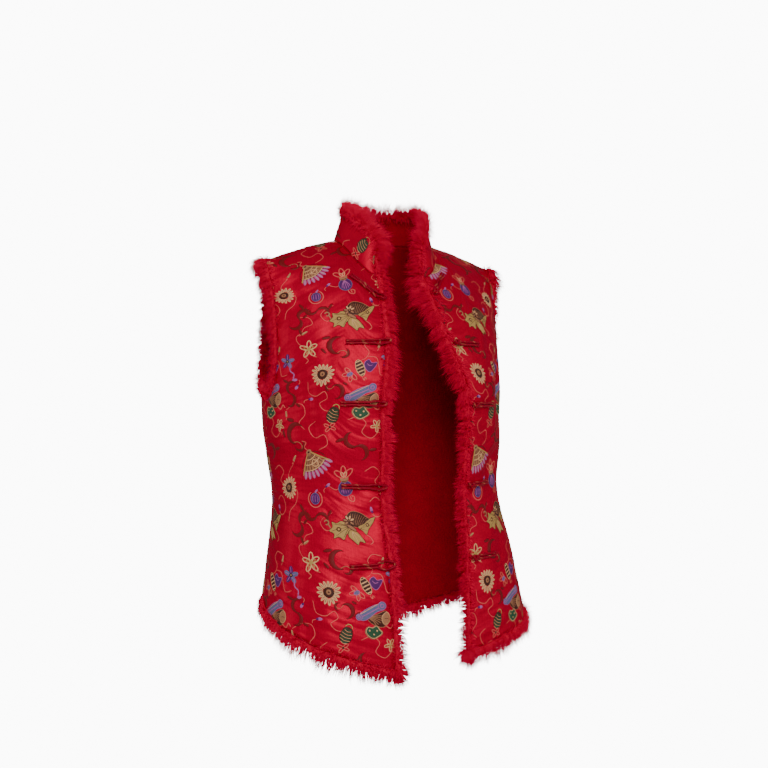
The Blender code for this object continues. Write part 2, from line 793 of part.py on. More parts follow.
def build():
    for thing in list(bpy.data.objects):
        bpy.data.objects.remove(thing)
    vest = collection_for("vest")
    satin = material("crimson_brocade", (0.58, 0.008, 0.022), 0.34)
    fur = material("crimson_fur", (0.52, 0.004, 0.018), 0.85)
    twist = material("crimson_twisted_cord", (0.33, 0.015, 0.02), 0.45)

    fronts = {side: front_faces(side) for side in (-1, 1)}
    back = back_faces()
    collar = collar_faces()
    for side, name in ((-1, "right"), (1, "left")):
        front = fronts[side]
        piece(f"front_{name}", wall(f"front_{name}", *front), satin, vest)
        rings = front_fur_rings(side, front, 10 + side)
        piece(f"fur_edge_{name}", loft(f"fur_edge_{name}", rings), fur, vest)
        rings = armhole_fur_rings(side, front, back, 20 + side)
        piece(f"fur_armhole_{name}", loft(f"fur_armhole_{name}", rings, True), fur, vest)
    piece("back", wall("back", *back), satin, vest)
    piece("fur_hem_back", loft("fur_hem_back", back_fur_rings(back, 31)), fur, vest)
    piece("collar", wall("collar", *collar), satin, vest)
    piece("fur_collar", loft("fur_collar", collar_fur_rings(collar, 41)), fur, vest)

    for number, frog in enumerate(FROGS, 1):
        right_level, left_level, right_rise, left_rise, eye_half = frog
        path = frog_path(-1, right_level, right_rise, EYE_START, EYE_END, eye_half)
        cord(f"frog_loop_{number}", path, twist, vest)
        start = 2 * KNOT_RADIUS + CORD_RADIUS + 6 * SEAM
        path = frog_path(1, left_level, left_rise, start, start, 0.0)
        cord(f"frog_cord_{number}", path, twist, vest)
        knot(f"frog_knot_{number}", 1, left_level, left_rise, twist, vest)


build()
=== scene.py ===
# %% [markdown]
# # A brocade vest with fur edges
#
# The real vest is cut from red silk satin with woven flowers, fans and butterflies. It has a
# stand collar, an open front with five pairs of knotted frogs, and a strip of dyed fur sewn
# along every edge. The solids of its pieces are loaded as a fixed frame, and each piece below
# is a finer mesh that stands for one of them.

# %% Load the fixed frame
import math

import bpy
import numpy as np
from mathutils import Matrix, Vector
from mathutils.geometry import delaunay_2d_cdt


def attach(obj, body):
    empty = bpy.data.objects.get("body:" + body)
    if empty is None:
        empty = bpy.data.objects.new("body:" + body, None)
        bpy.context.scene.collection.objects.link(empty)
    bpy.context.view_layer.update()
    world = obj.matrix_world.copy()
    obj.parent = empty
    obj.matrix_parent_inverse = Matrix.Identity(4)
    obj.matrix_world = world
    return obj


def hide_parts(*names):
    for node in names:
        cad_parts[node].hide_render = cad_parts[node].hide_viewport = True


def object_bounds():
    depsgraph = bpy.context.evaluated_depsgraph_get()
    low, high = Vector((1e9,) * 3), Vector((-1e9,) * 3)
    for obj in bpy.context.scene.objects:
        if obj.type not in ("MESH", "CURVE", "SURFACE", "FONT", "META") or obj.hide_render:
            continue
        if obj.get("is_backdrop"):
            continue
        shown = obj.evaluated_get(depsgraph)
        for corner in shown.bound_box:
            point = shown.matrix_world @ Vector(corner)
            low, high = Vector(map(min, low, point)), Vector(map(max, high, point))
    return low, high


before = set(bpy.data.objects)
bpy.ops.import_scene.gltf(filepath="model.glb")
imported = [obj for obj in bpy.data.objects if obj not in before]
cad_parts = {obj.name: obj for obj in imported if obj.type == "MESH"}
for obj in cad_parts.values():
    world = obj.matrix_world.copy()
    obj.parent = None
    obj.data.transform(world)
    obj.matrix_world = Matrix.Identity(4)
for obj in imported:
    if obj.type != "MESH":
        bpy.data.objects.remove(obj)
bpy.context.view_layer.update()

# %% [markdown]
# ## Camera
#
# The photograph was taken level with the waist, from the wearer's right of the middle, with a
# long lens. A camera can be aimed by eye or worked out. Here it is worked out: the distance and
# the size of one pixel at the body's middle give the lens, so a change of one keeps the other
# true. The small shift keeps the upright lines upright.

# %% Camera at the photograph's viewing angle
CAMERA_TURN = math.radians(-30.0)
CAMERA_DISTANCE = 2.2
METRES_PER_PIXEL = 0.00140
IMAGE_PIXELS = 768
SENSOR_MM = 36.0
MIDDLE_PIXEL = (383.0, 392.0)
ORIGIN_PIXEL_Y = 243.0

camera_data = bpy.data.cameras.new("camera")
camera_data.sensor_width = SENSOR_MM
focal_pixels = CAMERA_DISTANCE / METRES_PER_PIXEL
camera_data.lens = focal_pixels * SENSOR_MM / IMAGE_PIXELS
camera_data.shift_x = (IMAGE_PIXELS / 2 - MIDDLE_PIXEL[0]) / IMAGE_PIXELS
camera_data.shift_y = (MIDDLE_PIXEL[1] - IMAGE_PIXELS / 2) / IMAGE_PIXELS
camera = bpy.data.objects.new("camera", camera_data)
bpy.context.scene.collection.objects.link(camera)
camera.location = (
    CAMERA_DISTANCE * math.sin(CAMERA_TURN),
    -CAMERA_DISTANCE * math.cos(CAMERA_TURN),
    (ORIGIN_PIXEL_Y - MIDDLE_PIXEL[1]) * METRES_PER_PIXEL,
)
camera.rotation_euler = (math.radians(90), 0, CAMERA_TURN)
bpy.context.scene.camera = camera
print("lens:", round(camera_data.lens, 1), "mm at", CAMERA_DISTANCE, "m")

# %% [markdown]
# ## The garment surface
#
# Every piece of this vest lies on one smooth surface, the shape of the worn vest. It could be
# sculpted, or draped by a cloth simulation. A formula was chosen, because the panels, the seams,
# the fur and the woven motifs then share the same places: an angle round the body (0 at the
# centre front, 90 at the side seam, 180 at the centre back) and a level (0 on the shoulder
# ridge, 1 on the chest line, 2 one chest depth lower).

# %% Sizes of the body surface
WALL = 0.0026
SEAM = 0.0003
NECK_HALF = 0.073
RIDGE_HALF = 0.186
SHOULDER_LENGTH_X = 0.103
SHOULDER_DROP = 0.030
NECK_RISE = 0.004
NAPE_BACK = 0.030
NAPE_RISE = 0.010
RIDGE_Y = 0.006
CHEST_Z = -0.215
LEVEL = 0.215
RINGS = (
    # z, half_width, front, back, side_y
    (-0.215, 0.174, 0.140, 0.106, 0.010),
    (-0.275, 0.173, 0.130, 0.104, 0.004),
    (-0.350, 0.166, 0.114, 0.104, -0.008),
    (-0.430, 0.180, 0.114, 0.122, -0.026),
    (-0.510, 0.193, 0.116, 0.136, -0.035),
    (-0.620, 0.203, 0.120, 0.146, -0.042),
)
RING_SQUARENESS = 2.25
FRONT_ROLL = (0.058, 0.012, 0.075)
BACK_ROLL = (0.052, 0.000, 0.090)
TIP_ROLL_SHARE = 0.32


def table_at(where, rows):
    """Every column after the first, read where the first column has that value, on a cubic."""
    rows = np.array(rows, float)
    order = np.argsort(rows[:, 0])
    keys, values = rows[order, 0], rows[order, 1:]
    slopes = np.gradient(values, keys, axis=0)
    where = np.clip(np.asarray(where, float), keys[0], keys[-1])
    below = np.clip(np.searchsorted(keys, where, side="right") - 1, 0, len(keys) - 2)
    width = keys[below + 1] - keys[below]
    share = ((where - keys[below]) / width)[..., None]
    width = width[..., None]
    start = 2 * share**3 - 3 * share**2 + 1
    leave = share**3 - 2 * share**2 + share
    arrive = share**3 - share**2
    return (
        start * values[below]
        + (1 - start) * values[below + 1]
        + leave * width * slopes[below]
        + arrive * width * slopes[below + 1]
    )


def ring_point(angle, z):
    """A point of the ring at that height, angles in radians from the centre front."""
    row = table_at(z, RINGS)
    half, front, back, side_y = (row[..., k] for k in range(4))
    power = 2 / RING_SQUARENESS
    across, ahead = np.sin(angle), np.cos(angle)
    x = half * np.sign(across) * np.abs(across) ** power
    depth = np.where(ahead > 0, front, back)
    y = side_y - depth * np.sign(ahead) * np.abs(ahead) ** power
    return np.stack([x, y, np.broadcast_to(z, x.shape)], -1)


def ridge_point(angle):
    """A point of the shoulder ridge, from the neck's middle out past the tip."""
    x = RIDGE_HALF * np.sin(angle)
    outward = (np.abs(x) - NECK_HALF) / SHOULDER_LENGTH_X
    drop = SHOULDER_DROP * np.maximum(outward, 0) ** 1.25
    rise = NECK_RISE * np.maximum(-outward, 0)
    nape = np.where(angle > math.pi / 2, np.maximum(1 - (x / NECK_HALF) ** 2, 0), 0)
    return np.stack([x, RIDGE_Y + NAPE_BACK * nape, rise + NAPE_RISE * nape - drop], -1)


def smooth_body(angle, level):
    """The surface before its folds, angles in degrees, for the wearer's left side."""
    angle, level = np.broadcast_arrays(np.asarray(angle, float), np.asarray(level, float))
    over = level < 0
    angle = np.radians(np.where(over, 180 - angle, angle))
    level = np.abs(level)
    below = ring_point(angle, CHEST_Z - LEVEL * np.maximum(level - 1, 0))
    chest = ring_point(angle, np.full(angle.shape, CHEST_Z))
    top = ridge_point(angle)
    front = (np.cos(angle) > 0)[..., None]
    run, drop, pull = np.moveaxis(np.where(front, FRONT_ROLL, BACK_ROLL), -1, 0)
    outward = np.clip((top[..., 0] - NECK_HALF) / SHOULDER_LENGTH_X, 0, 1)
    run = run * (1 - (1 - TIP_ROLL_SHARE) * outward**1.5)
    away = np.where(front[..., 0], -1.0, 1.0) * run
    leave = top + np.stack([0 * away, away, -drop], -1)
    arrive = chest + np.stack([0 * pull, 0 * pull, pull], -1)
    t = np.clip(level, 0, 1)[..., None]
    upper = (
        (1 - t) ** 3 * top
        + 3 * (1 - t) ** 2 * t * leave
        + 3 * (1 - t) * t**2 * arrive
        + t**3 * chest
    )
    return np.where((level > 1)[..., None], below, upper)


def body_normal(angle, level):
    """The outward direction on the smooth surface, the same on both sides of each seam."""
    step_angle, step_level = 1.0, 0.01
    round_body = smooth_body(angle + step_angle, level) - smooth_body(angle - step_angle, level)
    down = smooth_body(angle, level + step_level) - smooth_body(angle, level - step_level)
    out = np.cross(down, round_body)
    return out / np.linalg.norm(out, axis=-1, keepdims=True)


print("chest half width:", RINGS[0][1], "m, waist half width:", RINGS[2][1], "m")

# %% [markdown]
# ## Folds, darts and creases
#
# Satin over fur is stiff, so it doesn't drape in long folds. It buckles in short soft creases
# at the waist, round the frogs, and where the darts take the cloth in. A simulation would place
# them at random. A table places each one where it lies on the real vest: a trough with its own
# length, width, depth and lean, some ridges beside them with a depth below zero, and similar
# ones on the back and the left side, which the photograph doesn't show.

# %% Folds and creases
FOLDS = (
    # side, angle, level, half_length, half_width, depth, lean
    (-1, 60.0, 0.98, 0.20, 4.0, 0.0045, 0.0),
    (-1, 70.0, 1.06, 0.14, 5.0, 0.0035, 62.0),
    (-1, 44.0, 1.16, 0.11, 6.0, 0.0030, 80.0),
    (-1, 38.0, 1.50, 0.10, 7.0, 0.0030, 78.0),
    (-1, 30.0, 1.78, 0.14, 5.0, 0.0030, 40.0),
    (1, 50.0, 0.96, 0.18, 4.0, 0.0045, 0.0),
    (1, 66.0, 1.08, 0.14, 5.0, 0.0035, -60.0),
    (1, 40.0, 1.50, 0.12, 6.0, 0.0030, -76.0),
    (-1, 128.0, 1.45, 0.12, 8.0, 0.0030, 80.0),
    (1, 134.0, 1.38, 0.12, 8.0, 0.0030, -82.0),
    (-1, 150.0, 1.62, 0.20, 6.0, 0.0025, 12.0),
    (1, 152.0, 1.66, 0.20, 6.0, 0.0025, -12.0),
)
CREASES = (
    # side, angle, level, half_length, half_width, depth, lean
    (-1, 66.0, 0.94, 0.10, 2.2, 0.0016, 4.0),
    (-1, 56.0, 1.22, 0.12, 2.6, 0.0018, -14.0),
    (-1, 50.0, 1.03, 0.07, 3.0, 0.0014, 84.0),
    (-1, 33.0, 1.07, 0.06, 2.4, 0.0013, 88.0),
    (-1, 64.0, 1.33, 0.14, 3.4, 0.0020, 70.0),
    (-1, 57.0, 1.40, 0.12, 3.0, -0.0012, 66.0),
    (-1, 76.0, 1.45, 0.16, 3.6, 0.0022, 76.0),
    (-1, 36.0, 1.60, 0.09, 2.2, 0.0014, 84.0),
    (-1, 29.0, 1.66, 0.07, 2.0, -0.0010, 62.0),
    (-1, 52.0, 1.72, 0.12, 3.0, 0.0014, 58.0),
    (-1, 30.0, 2.06, 0.07, 2.2, 0.0015, 86.0),
    (-1, 37.0, 2.16, 0.12, 3.0, 0.0017, 52.0),
    (-1, 70.0, 2.05, 0.22, 5.0, 0.0020, 10.0),
    (-1, 48.0, 2.32, 0.16, 4.6, -0.0016, -8.0),
    (-1, 60.0, 2.40, 0.12, 4.0, 0.0018, -6.0),
    (-1, 44.0, 0.70, 0.16, 3.4, 0.0012, 20.0),
    (-1, 58.0, 0.40, 0.12, 4.0, 0.0012, -30.0),
    (1, 20.0, 1.02, 0.10, 1.8, 0.0020, 0.0),
    (1, 27.0, 1.10, 0.12, 2.4, 0.0018, 76.0),
    (1, 33.0, 1.26, 0.10, 2.6, 0.0016, 62.0),
    (1, 24.0, 1.62, 0.06, 2.2, 0.0014, 84.0),
    (1, 44.0, 1.40, 0.14, 3.4, 0.0020, -68.0),
    (1, 72.0, 1.48, 0.16, 3.6, 0.0020, -76.0),
    (1, 40.0, 1.96, 0.16, 3.4, 0.0016, -50.0),
    (1, 66.0, 2.10, 0.20, 5.0, 0.0020, -10.0),
    (1, 50.0, 2.36, 0.14, 4.4, -0.0014, 6.0),
    (1, 42.0, 0.66, 0.16, 3.4, 0.0012, -24.0),
    (-1, 112.0, 1.36, 0.12, 5.0, 0.0022, 78.0),
    (-1, 140.0, 1.52, 0.14, 5.0, 0.0018, 84.0),
    (-1, 160.0, 1.44, 0.10, 5.0, -0.0012, 72.0),
    (-1, 124.0, 2.05, 0.24, 6.0, 0.0022, 6.0),
    (-1, 152.0, 2.20, 0.22, 6.0, -0.0016, -4.0),
    (-1, 138.0, 0.66, 0.20, 5.0, 0.0014, -26.0),
    (-1, 120.0, 0.90, 0.12, 4.0, 0.0016, 40.0),
    (1, 116.0, 1.42, 0.12, 5.0, 0.0020, -74.0),
    (1, 142.0, 1.56, 0.12, 5.0, 0.0018, -86.0),
    (1, 163.0, 1.50, 0.12, 5.0, 0.0012, -70.0),
    (1, 126.0, 2.00, 0.26, 6.0, 0.0022, -8.0),
    (1, 150.0, 2.14, 0.20, 6.0, 0.0018, 5.0),
    (1, 136.0, 0.70, 0.18, 5.0, 0.0014, 24.0),
    (1, 119.0, 0.88, 0.12, 4.0, 0.0016, -42.0),
)
CREASE_GAIN = 1.5
DEGREES_PER_LEVEL = 60.0


def fold_depth(side, angle, level):
    """How far the cloth sinks in at its folds, darts and creases."""
    depth = np.zeros(np.broadcast(angle, level).shape)
    for row in FOLDS + CREASES:
        fold_side, at_angle, at_level, half_length, half_width, deep, lean = row
        if fold_side != side:
            continue
        deep = deep * (CREASE_GAIN if row in CREASES else 1.0)
        tilt = math.radians(lean)
        across = (angle - at_angle) / DEGREES_PER_LEVEL
        along = level - at_level
        length = along * math.cos(tilt) + across * math.sin(tilt)
        width = (across * math.cos(tilt) - along * math.sin(tilt)) * DEGREES_PER_LEVEL
        depth += deep * np.exp(-((length / half_length) ** 2) - (width / half_width) ** 2)
    return depth


def cloth(side, angle, level, raised=0.0):
    """A point of the cloth's outer face, or that much above it. Side is -1 for the right."""
    angle, level = np.broadcast_arrays(np.asarray(angle, float), np.asarray(level, float))
    out = body_normal(angle, level)
    lift = raised - fold_depth(side, angle, level)
    point = smooth_body(angle, level) + out * np.expand_dims(lift, -1)
    return point * (side, 1, 1)


def cloth_normal(side, angle, level):
    return body_normal(np.asarray(angle, float), np.asarray(level, float)) * (side, 1, 1)


print("folds:", len(FOLDS), "creases:", len(CREASES))

# %% [markdown]
# ## The cut of the panels
#
# A pattern maker draws the two fronts and the back by their edges: the centre front, the
# neckline, the armholes, the side seams with their vents, and the curved hem. The same edges
# are drawn here as curves on the garment surface, and each panel's grid is blended between its
# four edges, so its rows follow the neckline at the top and the hem at the bottom.

# %% Edges of the panels
FRONT_EDGES = (
    # level, right, left
    (0.18, 0.036, 0.026),
    (0.45, 0.049, 0.031),
    (0.75, 0.061, 0.043),
    (1.00, 0.072, 0.065),
    (1.30, 0.070, 0.064),
    (1.65, 0.069, 0.061),
    (2.20, 0.069, 0.051),
    (2.80, 0.068, 0.043),
)
NECK_LEVEL_FRONT = 0.36
NECK_LEVEL_BACK = 0.16
TIP_ANGLE = 74.0
ARMHOLE_FRONT = (77.0, 0.45, 79.0)
ARMHOLE_BACK = (55.0, 0.50, 57.0)
SIDE_SEAM = (
    # level, angle
    (1.00, 91.0),
    (1.60, 97.0),
    (2.21, 105.0),
)
VENT_LEVEL = 2.21
HEM_LEVEL_FRONT = {-1: 2.65, 1: 2.57}
HEM_LEVEL_BACK = 2.52
HEM_SLOPE = 0.80
HEM_CORNER_POWER = 5.0
UNDERARM_SHARE = 0.42
NECK_SHARE = 0.40


def angle_at_x(x, level):
    """The angle on the front where the surface is that far from the middle."""
    low, high = np.zeros(np.shape(level)), np.full(np.shape(level), 89.0)
    for _ in range(30):
        middle = (low + high) / 2
        inside = smooth_body(middle, level)[..., 0] < x
        low, high = np.where(inside, middle, low), np.where(inside, high, middle)
    return (low + high) / 2


def front_edge_angle(side, level):
    level = np.asarray(level, float)
    column = 0 if side < 0 else 1
    return angle_at_x(table_at(level, FRONT_EDGES)[..., column], level)


def bezier(points, t):
    """A cubic through four places of the angle and level plane."""
    t = np.asarray(t, float)[..., None]
    a, b, c, d = (np.array(p, float) for p in points)
    return (1 - t) ** 3 * a + 3 * (1 - t) ** 2 * t * b + 3 * (1 - t) * t**2 * c + t**3 * d


def side_seam_angle(level):
    return table_at(level, SIDE_SEAM)[..., 0]


def neck_angle():
    return math.degrees(math.asin(NECK_HALF / RIDGE_HALF))


def neckline_front(side, t):
    """From the centre front to the shoulder seam, as angle and level."""
    turn = np.radians(90 * (1 - np.asarray(t, float)))
    edge = float(front_edge_angle(side, [NECK_LEVEL_FRONT])[0])
    angle = edge + (neck_angle() - edge) * np.cos(turn)
    return np.stack([angle, NECK_LEVEL_FRONT * np.sin(turn)], -1)


def neckline_back(t):
    """From the shoulder seam to the centre back, as angle and level."""
    turn = np.radians(90 * np.asarray(t, float))
    angle = 180 - neck_angle() * np.cos(turn)
    return np.stack([angle, NECK_LEVEL_BACK * np.sin(turn)], -1)


def armhole(t, front):
    """From the shoulder tip to the underarm, as angle and level."""
    upper_angle, upper_level, lower_angle = ARMHOLE_FRONT if front else ARMHOLE_BACK
    seam = side_seam_angle(1.0) if front else 180 - side_seam_angle(1.0)
    line = bezier(
        ((TIP_ANGLE, 0.0), (upper_angle, upper_level), (lower_angle, 1.0), (seam, 1.0)), t
    )
    if not front:
        line[..., 0] = 180 - line[..., 0]
    return line


def hem_drop(t):
    """How far up the hem has come, 0 at the centre and 1 at the vent, over the panel's width."""
    t = np.asarray(t, float)
    corner = 1 - np.sqrt(1 - t**HEM_CORNER_POWER)
    return HEM_SLOPE * t + (1 - HEM_SLOPE) * corner


def hem_front(side, t):
    """From the centre front corner to the vent, as angle and level."""
    t = np.asarray(t, float)
    lowest = HEM_LEVEL_FRONT[side]
    start = float(front_edge_angle(side, [lowest])[0])
    level = lowest - (lowest - VENT_LEVEL) * hem_drop(t)
    return np.stack([start + (side_seam_angle(VENT_LEVEL) - start) * t, level], -1)


def hem_back(t):
    """From the centre back to the vent, as angle and level."""
    t = np.asarray(t, float)
    level = HEM_LEVEL_BACK - (HEM_LEVEL_BACK - VENT_LEVEL) * hem_drop(t)
    return np.stack([180 - (180 - side_seam_angle(VENT_LEVEL)) * t, level], -1)


def blended(left, right, top, bottom):
    """A grid of places inside four edges that share their corners."""
    u = np.linspace(0, 1, len(top))[:, None, None]
    v = np.linspace(0, 1, len(left))[None, :, None]
    sides = (1 - u) * left[None] + u * right[None]
    ends = (1 - v) * top[:, None] + v * bottom[:, None]
    corners = (
        (1 - u) * (1 - v) * left[0]
        + u * (1 - v) * right[0]
        + (1 - u) * v * left[-1]
        + u * v * right[-1]
    )
    return sides + ends - corners


def shares(start, end, cells):
    return np.linspace(start, end, cells + 1)


print("hem levels:", HEM_LEVEL_FRONT, "back:", HEM_LEVEL_BACK)

# %% Grids of the panels
FRONT_CELLS = (50, 120)
BACK_CELLS = (92, 108)
HEM_CROWDING = 1.35


def panel_places(cells, front, main_angle, ends, neckline, shoulder, hem):
    """Places of a panel: across from its main line to the side, and down."""
    across, down = cells
    upper = round(down * UNDERARM_SHARE)
    neck = round(across * NECK_SHARE)
    levels = np.concatenate(
        [shares(ends[0], 1.0, upper), shares(1.0, ends[1], down - upper)[1:]]
    )
    left = np.stack([main_angle(levels), levels], -1)
    seam = shares(1.0, VENT_LEVEL, down - upper)[1:]
    seam = np.stack([side_seam_angle(seam), seam], -1)
    right = np.concatenate([armhole(shares(0, 1, upper), front), seam])
    slope = shares(*shoulder, across - neck)[1:]
    top = np.concatenate([neckline(neck), np.stack([slope, np.zeros(len(slope))], -1)])
    bottom = hem(1 - (1 - shares(0, 1, across)) ** HEM_CROWDING)
    return blended(left, right, top, bottom)


def front_places(side):
    return panel_places(
        FRONT_CELLS,
        front=True,
        main_angle=lambda levels: front_edge_angle(side, levels),
        ends=(NECK_LEVEL_FRONT, HEM_LEVEL_FRONT[side]),
        neckline=lambda cells: neckline_front(side, shares(0, 1, cells)),
        shoulder=(neck_angle(), TIP_ANGLE),
        hem=lambda t: hem_front(side, t),
    )


def back_half_places():
    """Places of half the back, whose main line is the centre back."""
    return panel_places(
        (BACK_CELLS[0] // 2, BACK_CELLS[1]),
        front=False,
        main_angle=lambda levels: np.full(len(levels), 180.0),
        ends=(NECK_LEVEL_BACK, HEM_LEVEL_BACK),
        neckline=lambda cells: neckline_back(shares(1, 0, cells)),
        shoulder=(180 - neck_angle(), 180 - TIP_ANGLE),
        hem=hem_back,
    )


def unit(vectors):
    return vectors / np.linalg.norm(vectors, axis=-1, keepdims=True)


def panel_faces(side, places):
    """The outer and inner face of a panel, as grids of points."""
    angle, level = places[..., 0], places[..., 1]
    outer = cloth(side, angle, level)
    return outer, outer - cloth_normal(side, angle, level) * WALL


def sewn(faces, edge, part):
    """A groove along a stretch of one edge outside, and a lap inside that keeps light out."""
    for grid, way in zip(faces, (SEAM / 2, -SEAM)):
        line, beside = (grid[-1], grid[-2]) if edge == "side" else (grid[:, 0], grid[:, 1])
        line[part] += unit(beside - line)[part] * way


def front_faces(side):
    faces = panel_faces(side, front_places(side))
    sewn(faces, "side", slice(round(FRONT_CELLS[1] * UNDERARM_SHARE), None))
    sewn(faces, "top", slice(round(FRONT_CELLS[0] * NECK_SHARE), None))
    return faces


def back_faces():
    """The whole back from the right side to the left, its two halves joined at the middle."""
    halves = []
    for side in (-1, 1):
        faces = panel_faces(side, back_half_places())
        sewn(faces, "side", slice(round(BACK_CELLS[1] * UNDERARM_SHARE), None))
        sewn(faces, "top", slice(round(BACK_CELLS[0] // 2 * NECK_SHARE), None))
        halves.append(faces)
    return [np.concatenate([right[::-1], left[1:]]) for right, left in zip(*halves)]


fronts = {side: front_faces(side) for side in (-1, 1)}
back = back_faces()
print("front grid:", fronts[-1][0].shape[:2], "back grid:", back[0].shape[:2])

# %% [markdown]
# ## Shader maths as plain sums
#
# A finish is a small sum over the surface: a shade here, a bump there. In the node editor each
# step is a Math node. A short class does the same in text: it wraps one output of a node, and
# each sign in an expression adds its Math node. Colours go through a Mix node, because a Math
# node would turn them grey.

# %% A wire and a finish
class Wire:
    """One output of a node, which adds a Math node for each sign it is used with."""

    def __init__(self, finish, socket):
        self.finish = finish
        self.socket = socket

    def maths(self, operation, first, second=0.0):
        return self.finish.node(
            "ShaderNodeMath", {"operation": operation}, {0: first, 1: second}, 0
        )

    def __add__(self, other):
        return self.maths("ADD", self, other)

    def __radd__(self, other):
        return self.maths("ADD", other, self)

    def __sub__(self, other):
        return self.maths("SUBTRACT", self, other)

    def __rsub__(self, other):
        return self.maths("SUBTRACT", other, self)

    def __mul__(self, other):
        return self.maths("MULTIPLY", self, other)

    def __rmul__(self, other):
        return self.maths("MULTIPLY", other, self)


class Finish:
    """A material whose nodes are made one call at a time."""

    def __init__(self, name, **fixed):
        self.material = bpy.data.materials.new(name)
        self.material.use_nodes = True
        self.tree = self.material.node_tree
        self.shader = self.tree.nodes["Principled BSDF"]
        for socket, value in fixed.items():
            self.shader.inputs[socket.replace("_", " ")].default_value = value

    def node(self, kind, settings, sockets, output):
        """Adds a node: its settings first, then the values or links of its sockets."""
        node = self.tree.nodes.new(kind)
        for name, value in settings.items():
            if name == "stops":
                self.set_stops(node.color_ramp, value)
            else:
                setattr(node, name, value)
        for key, value in sockets.items():
            if isinstance(value, Wire):
                self.tree.links.new(value.socket, node.inputs[key])
            else:
                node.inputs[key].default_value = value
        return Wire(self, node.outputs[output])

    def set_stops(self, ramp, stops):
        for place, colour in stops[2:]:
            ramp.elements.new(place)
        for element, (place, colour) in zip(ramp.elements, stops):
            element.position = place
            element.color = (*colour, 1.0)

    def mix(self, share, one, other, blend="MIX"):
        """A blend of two colours, plain triples or wires."""
        settings = {"data_type": "RGBA", "blend_type": blend}
        pair = [c if isinstance(c, Wire) else (*c, 1.0) for c in (one, other)]
        return self.node("ShaderNodeMix", settings, {0: share, 6: pair[0], 7: pair[1]}, 2)

    def noise(self, place, scale, detail=2.0, roughness=0.5):
        sockets = {"Vector": place, "Scale": scale, "Detail": detail, "Roughness": roughness}
        return self.node("ShaderNodeTexNoise", {}, sockets, 0)

    def stretched(self, place, factors):
        """Places with each axis multiplied, for threads that are longer than they are wide."""
        settings = {"operation": "MULTIPLY"}
        return self.node("ShaderNodeVectorMath", settings, {0: place, 1: factors}, 0)

    def attribute(self, name, output="Vector"):
        return self.node("ShaderNodeAttribute", {"attribute_name": name}, {}, output)

    def ramp(self, share, stops):
        return self.node("ShaderNodeValToRGB", {"stops": stops}, {0: share}, 0)

    def feed(self, **wires):
        for name, wire in wires.items():
            self.tree.links.new(wire.socket, self.shader.inputs[name.replace("_", " ")])

    def bump(self, height, distance, strength=1.0):
        sockets = {"Height": height, "Distance": distance, "Strength": strength}
        self.feed(Normal=self.node("ShaderNodeBump", {}, sockets, 0))


print("a finish starts from a Principled shader")

# %% [markdown]
# ## Satin ground
#
# The ground of this brocade is a crimson silk satin. Satin shines because its warp threads
# float over the weft, so most of its surface is smooth thread running down the cloth. Here the
# cloth carries its own grain, in metres across and down the panel, so that the fine warp lines,
# the odd thicker thread and the faint shadow of the weave follow the cut and not the world.
# At scale 1 a wave texture turns 20 radians for each metre, so lines per metre set its scale.

# %% Satin and its lining
CRIMSON = (0.36, 0.0001, 0.0175)
CRIMSON_DEEP = (0.16, 0.0001, 0.008)
CRIMSON_LIGHT = (0.49, 0.0002, 0.0245)
WAVE_SCALE = 2 * math.pi / 20
WARP_LINES_PER_METRE = 709.27
WEFT_LINES_PER_METRE = 455.96
WEAVE_HEIGHT = 0.00009
PULL_HEIGHT = 0.0075
RUMPLE_HEIGHT = 0.0024


def satin_finish():
    finish = Finish(
        "crimson_satin",
        Metallic=0.36,
        Specular_IOR_Level=0.08,
        Specular_Tint=(1.0, 0.10, 0.26, 1.0),
    )
    grain = finish.attribute("grain")
    slubs = finish.noise(finish.stretched(grain, (900.0, 26.0, 1.0)), 1.0, 3.0)
    cloudy = finish.noise(finish.stretched(grain, (14.0, 9.0, 1.0)), 1.0, 3.0)
    fine = finish.noise(finish.stretched(grain, (2600.0, 420.0, 1.0)), 1.0, 2.0)
    body = finish.mix(cloudy * 0.9, CRIMSON, CRIMSON_LIGHT)
    body = finish.mix(slubs * 0.55, body, CRIMSON_DEEP)
    finish.feed(Base_Color=body)
    finish.feed(Roughness=0.33 + slubs * 0.14 + fine * 0.10)
    warp = finish.node(
        "ShaderNodeTexWave",
        {"wave_type": "BANDS", "bands_direction": "X"},
        {"Vector": grain, "Scale": WARP_LINES_PER_METRE * WAVE_SCALE, "Distortion": 0.6},
        1,
    )
    weft = finish.node(
        "ShaderNodeTexWave",
        {"wave_type": "BANDS", "bands_direction": "Y"},
        {"Vector": grain, "Scale": WEFT_LINES_PER_METRE * WAVE_SCALE, "Distortion": 0.8},
        1,
    )
    pulls = finish.noise(finish.stretched(grain, (9.0, 46.0, 1.0)), 1.0, 2.0)
    rumples = finish.noise(finish.stretched(grain, (22.0, 60.0, 1.0)), 1.0, 2.0)
    weave = warp * 0.5 + warp * weft * 0.5 + slubs * 1.2 + fine * 0.6
    height = weave * WEAVE_HEIGHT + pulls * PULL_HEIGHT + rumples * RUMPLE_HEIGHT
    finish.bump(height, 1.0, 0.60)
    return finish.material


def lining_finish():
    """The inside: the short, dense pile of the fur's back, matt and a deeper red."""
    finish = Finish("plush_lining", Specular_IOR_Level=0.06)
    place = finish.node("ShaderNodeTexCoord", {}, {}, "Object")
    pile = finish.noise(place, 700.0, 4.0, 0.7)
    patches = finish.noise(place, 60.0, 3.0)
    colour = finish.mix(pile, (0.12, 0.0001, 0.005), (0.30, 0.0003, 0.012))
    finish.feed(Base_Color=finish.mix(patches * 0.6, colour, (0.34, 0.0005, 0.014)))
    finish.feed(Roughness=0.72 + pile * 0.25)
    finish.bump(pile + patches * 0.7, 0.0010, 0.8)
    return finish.material


satin = satin_finish()
lining = lining_finish()
print("finishes:", satin.name, lining.name)
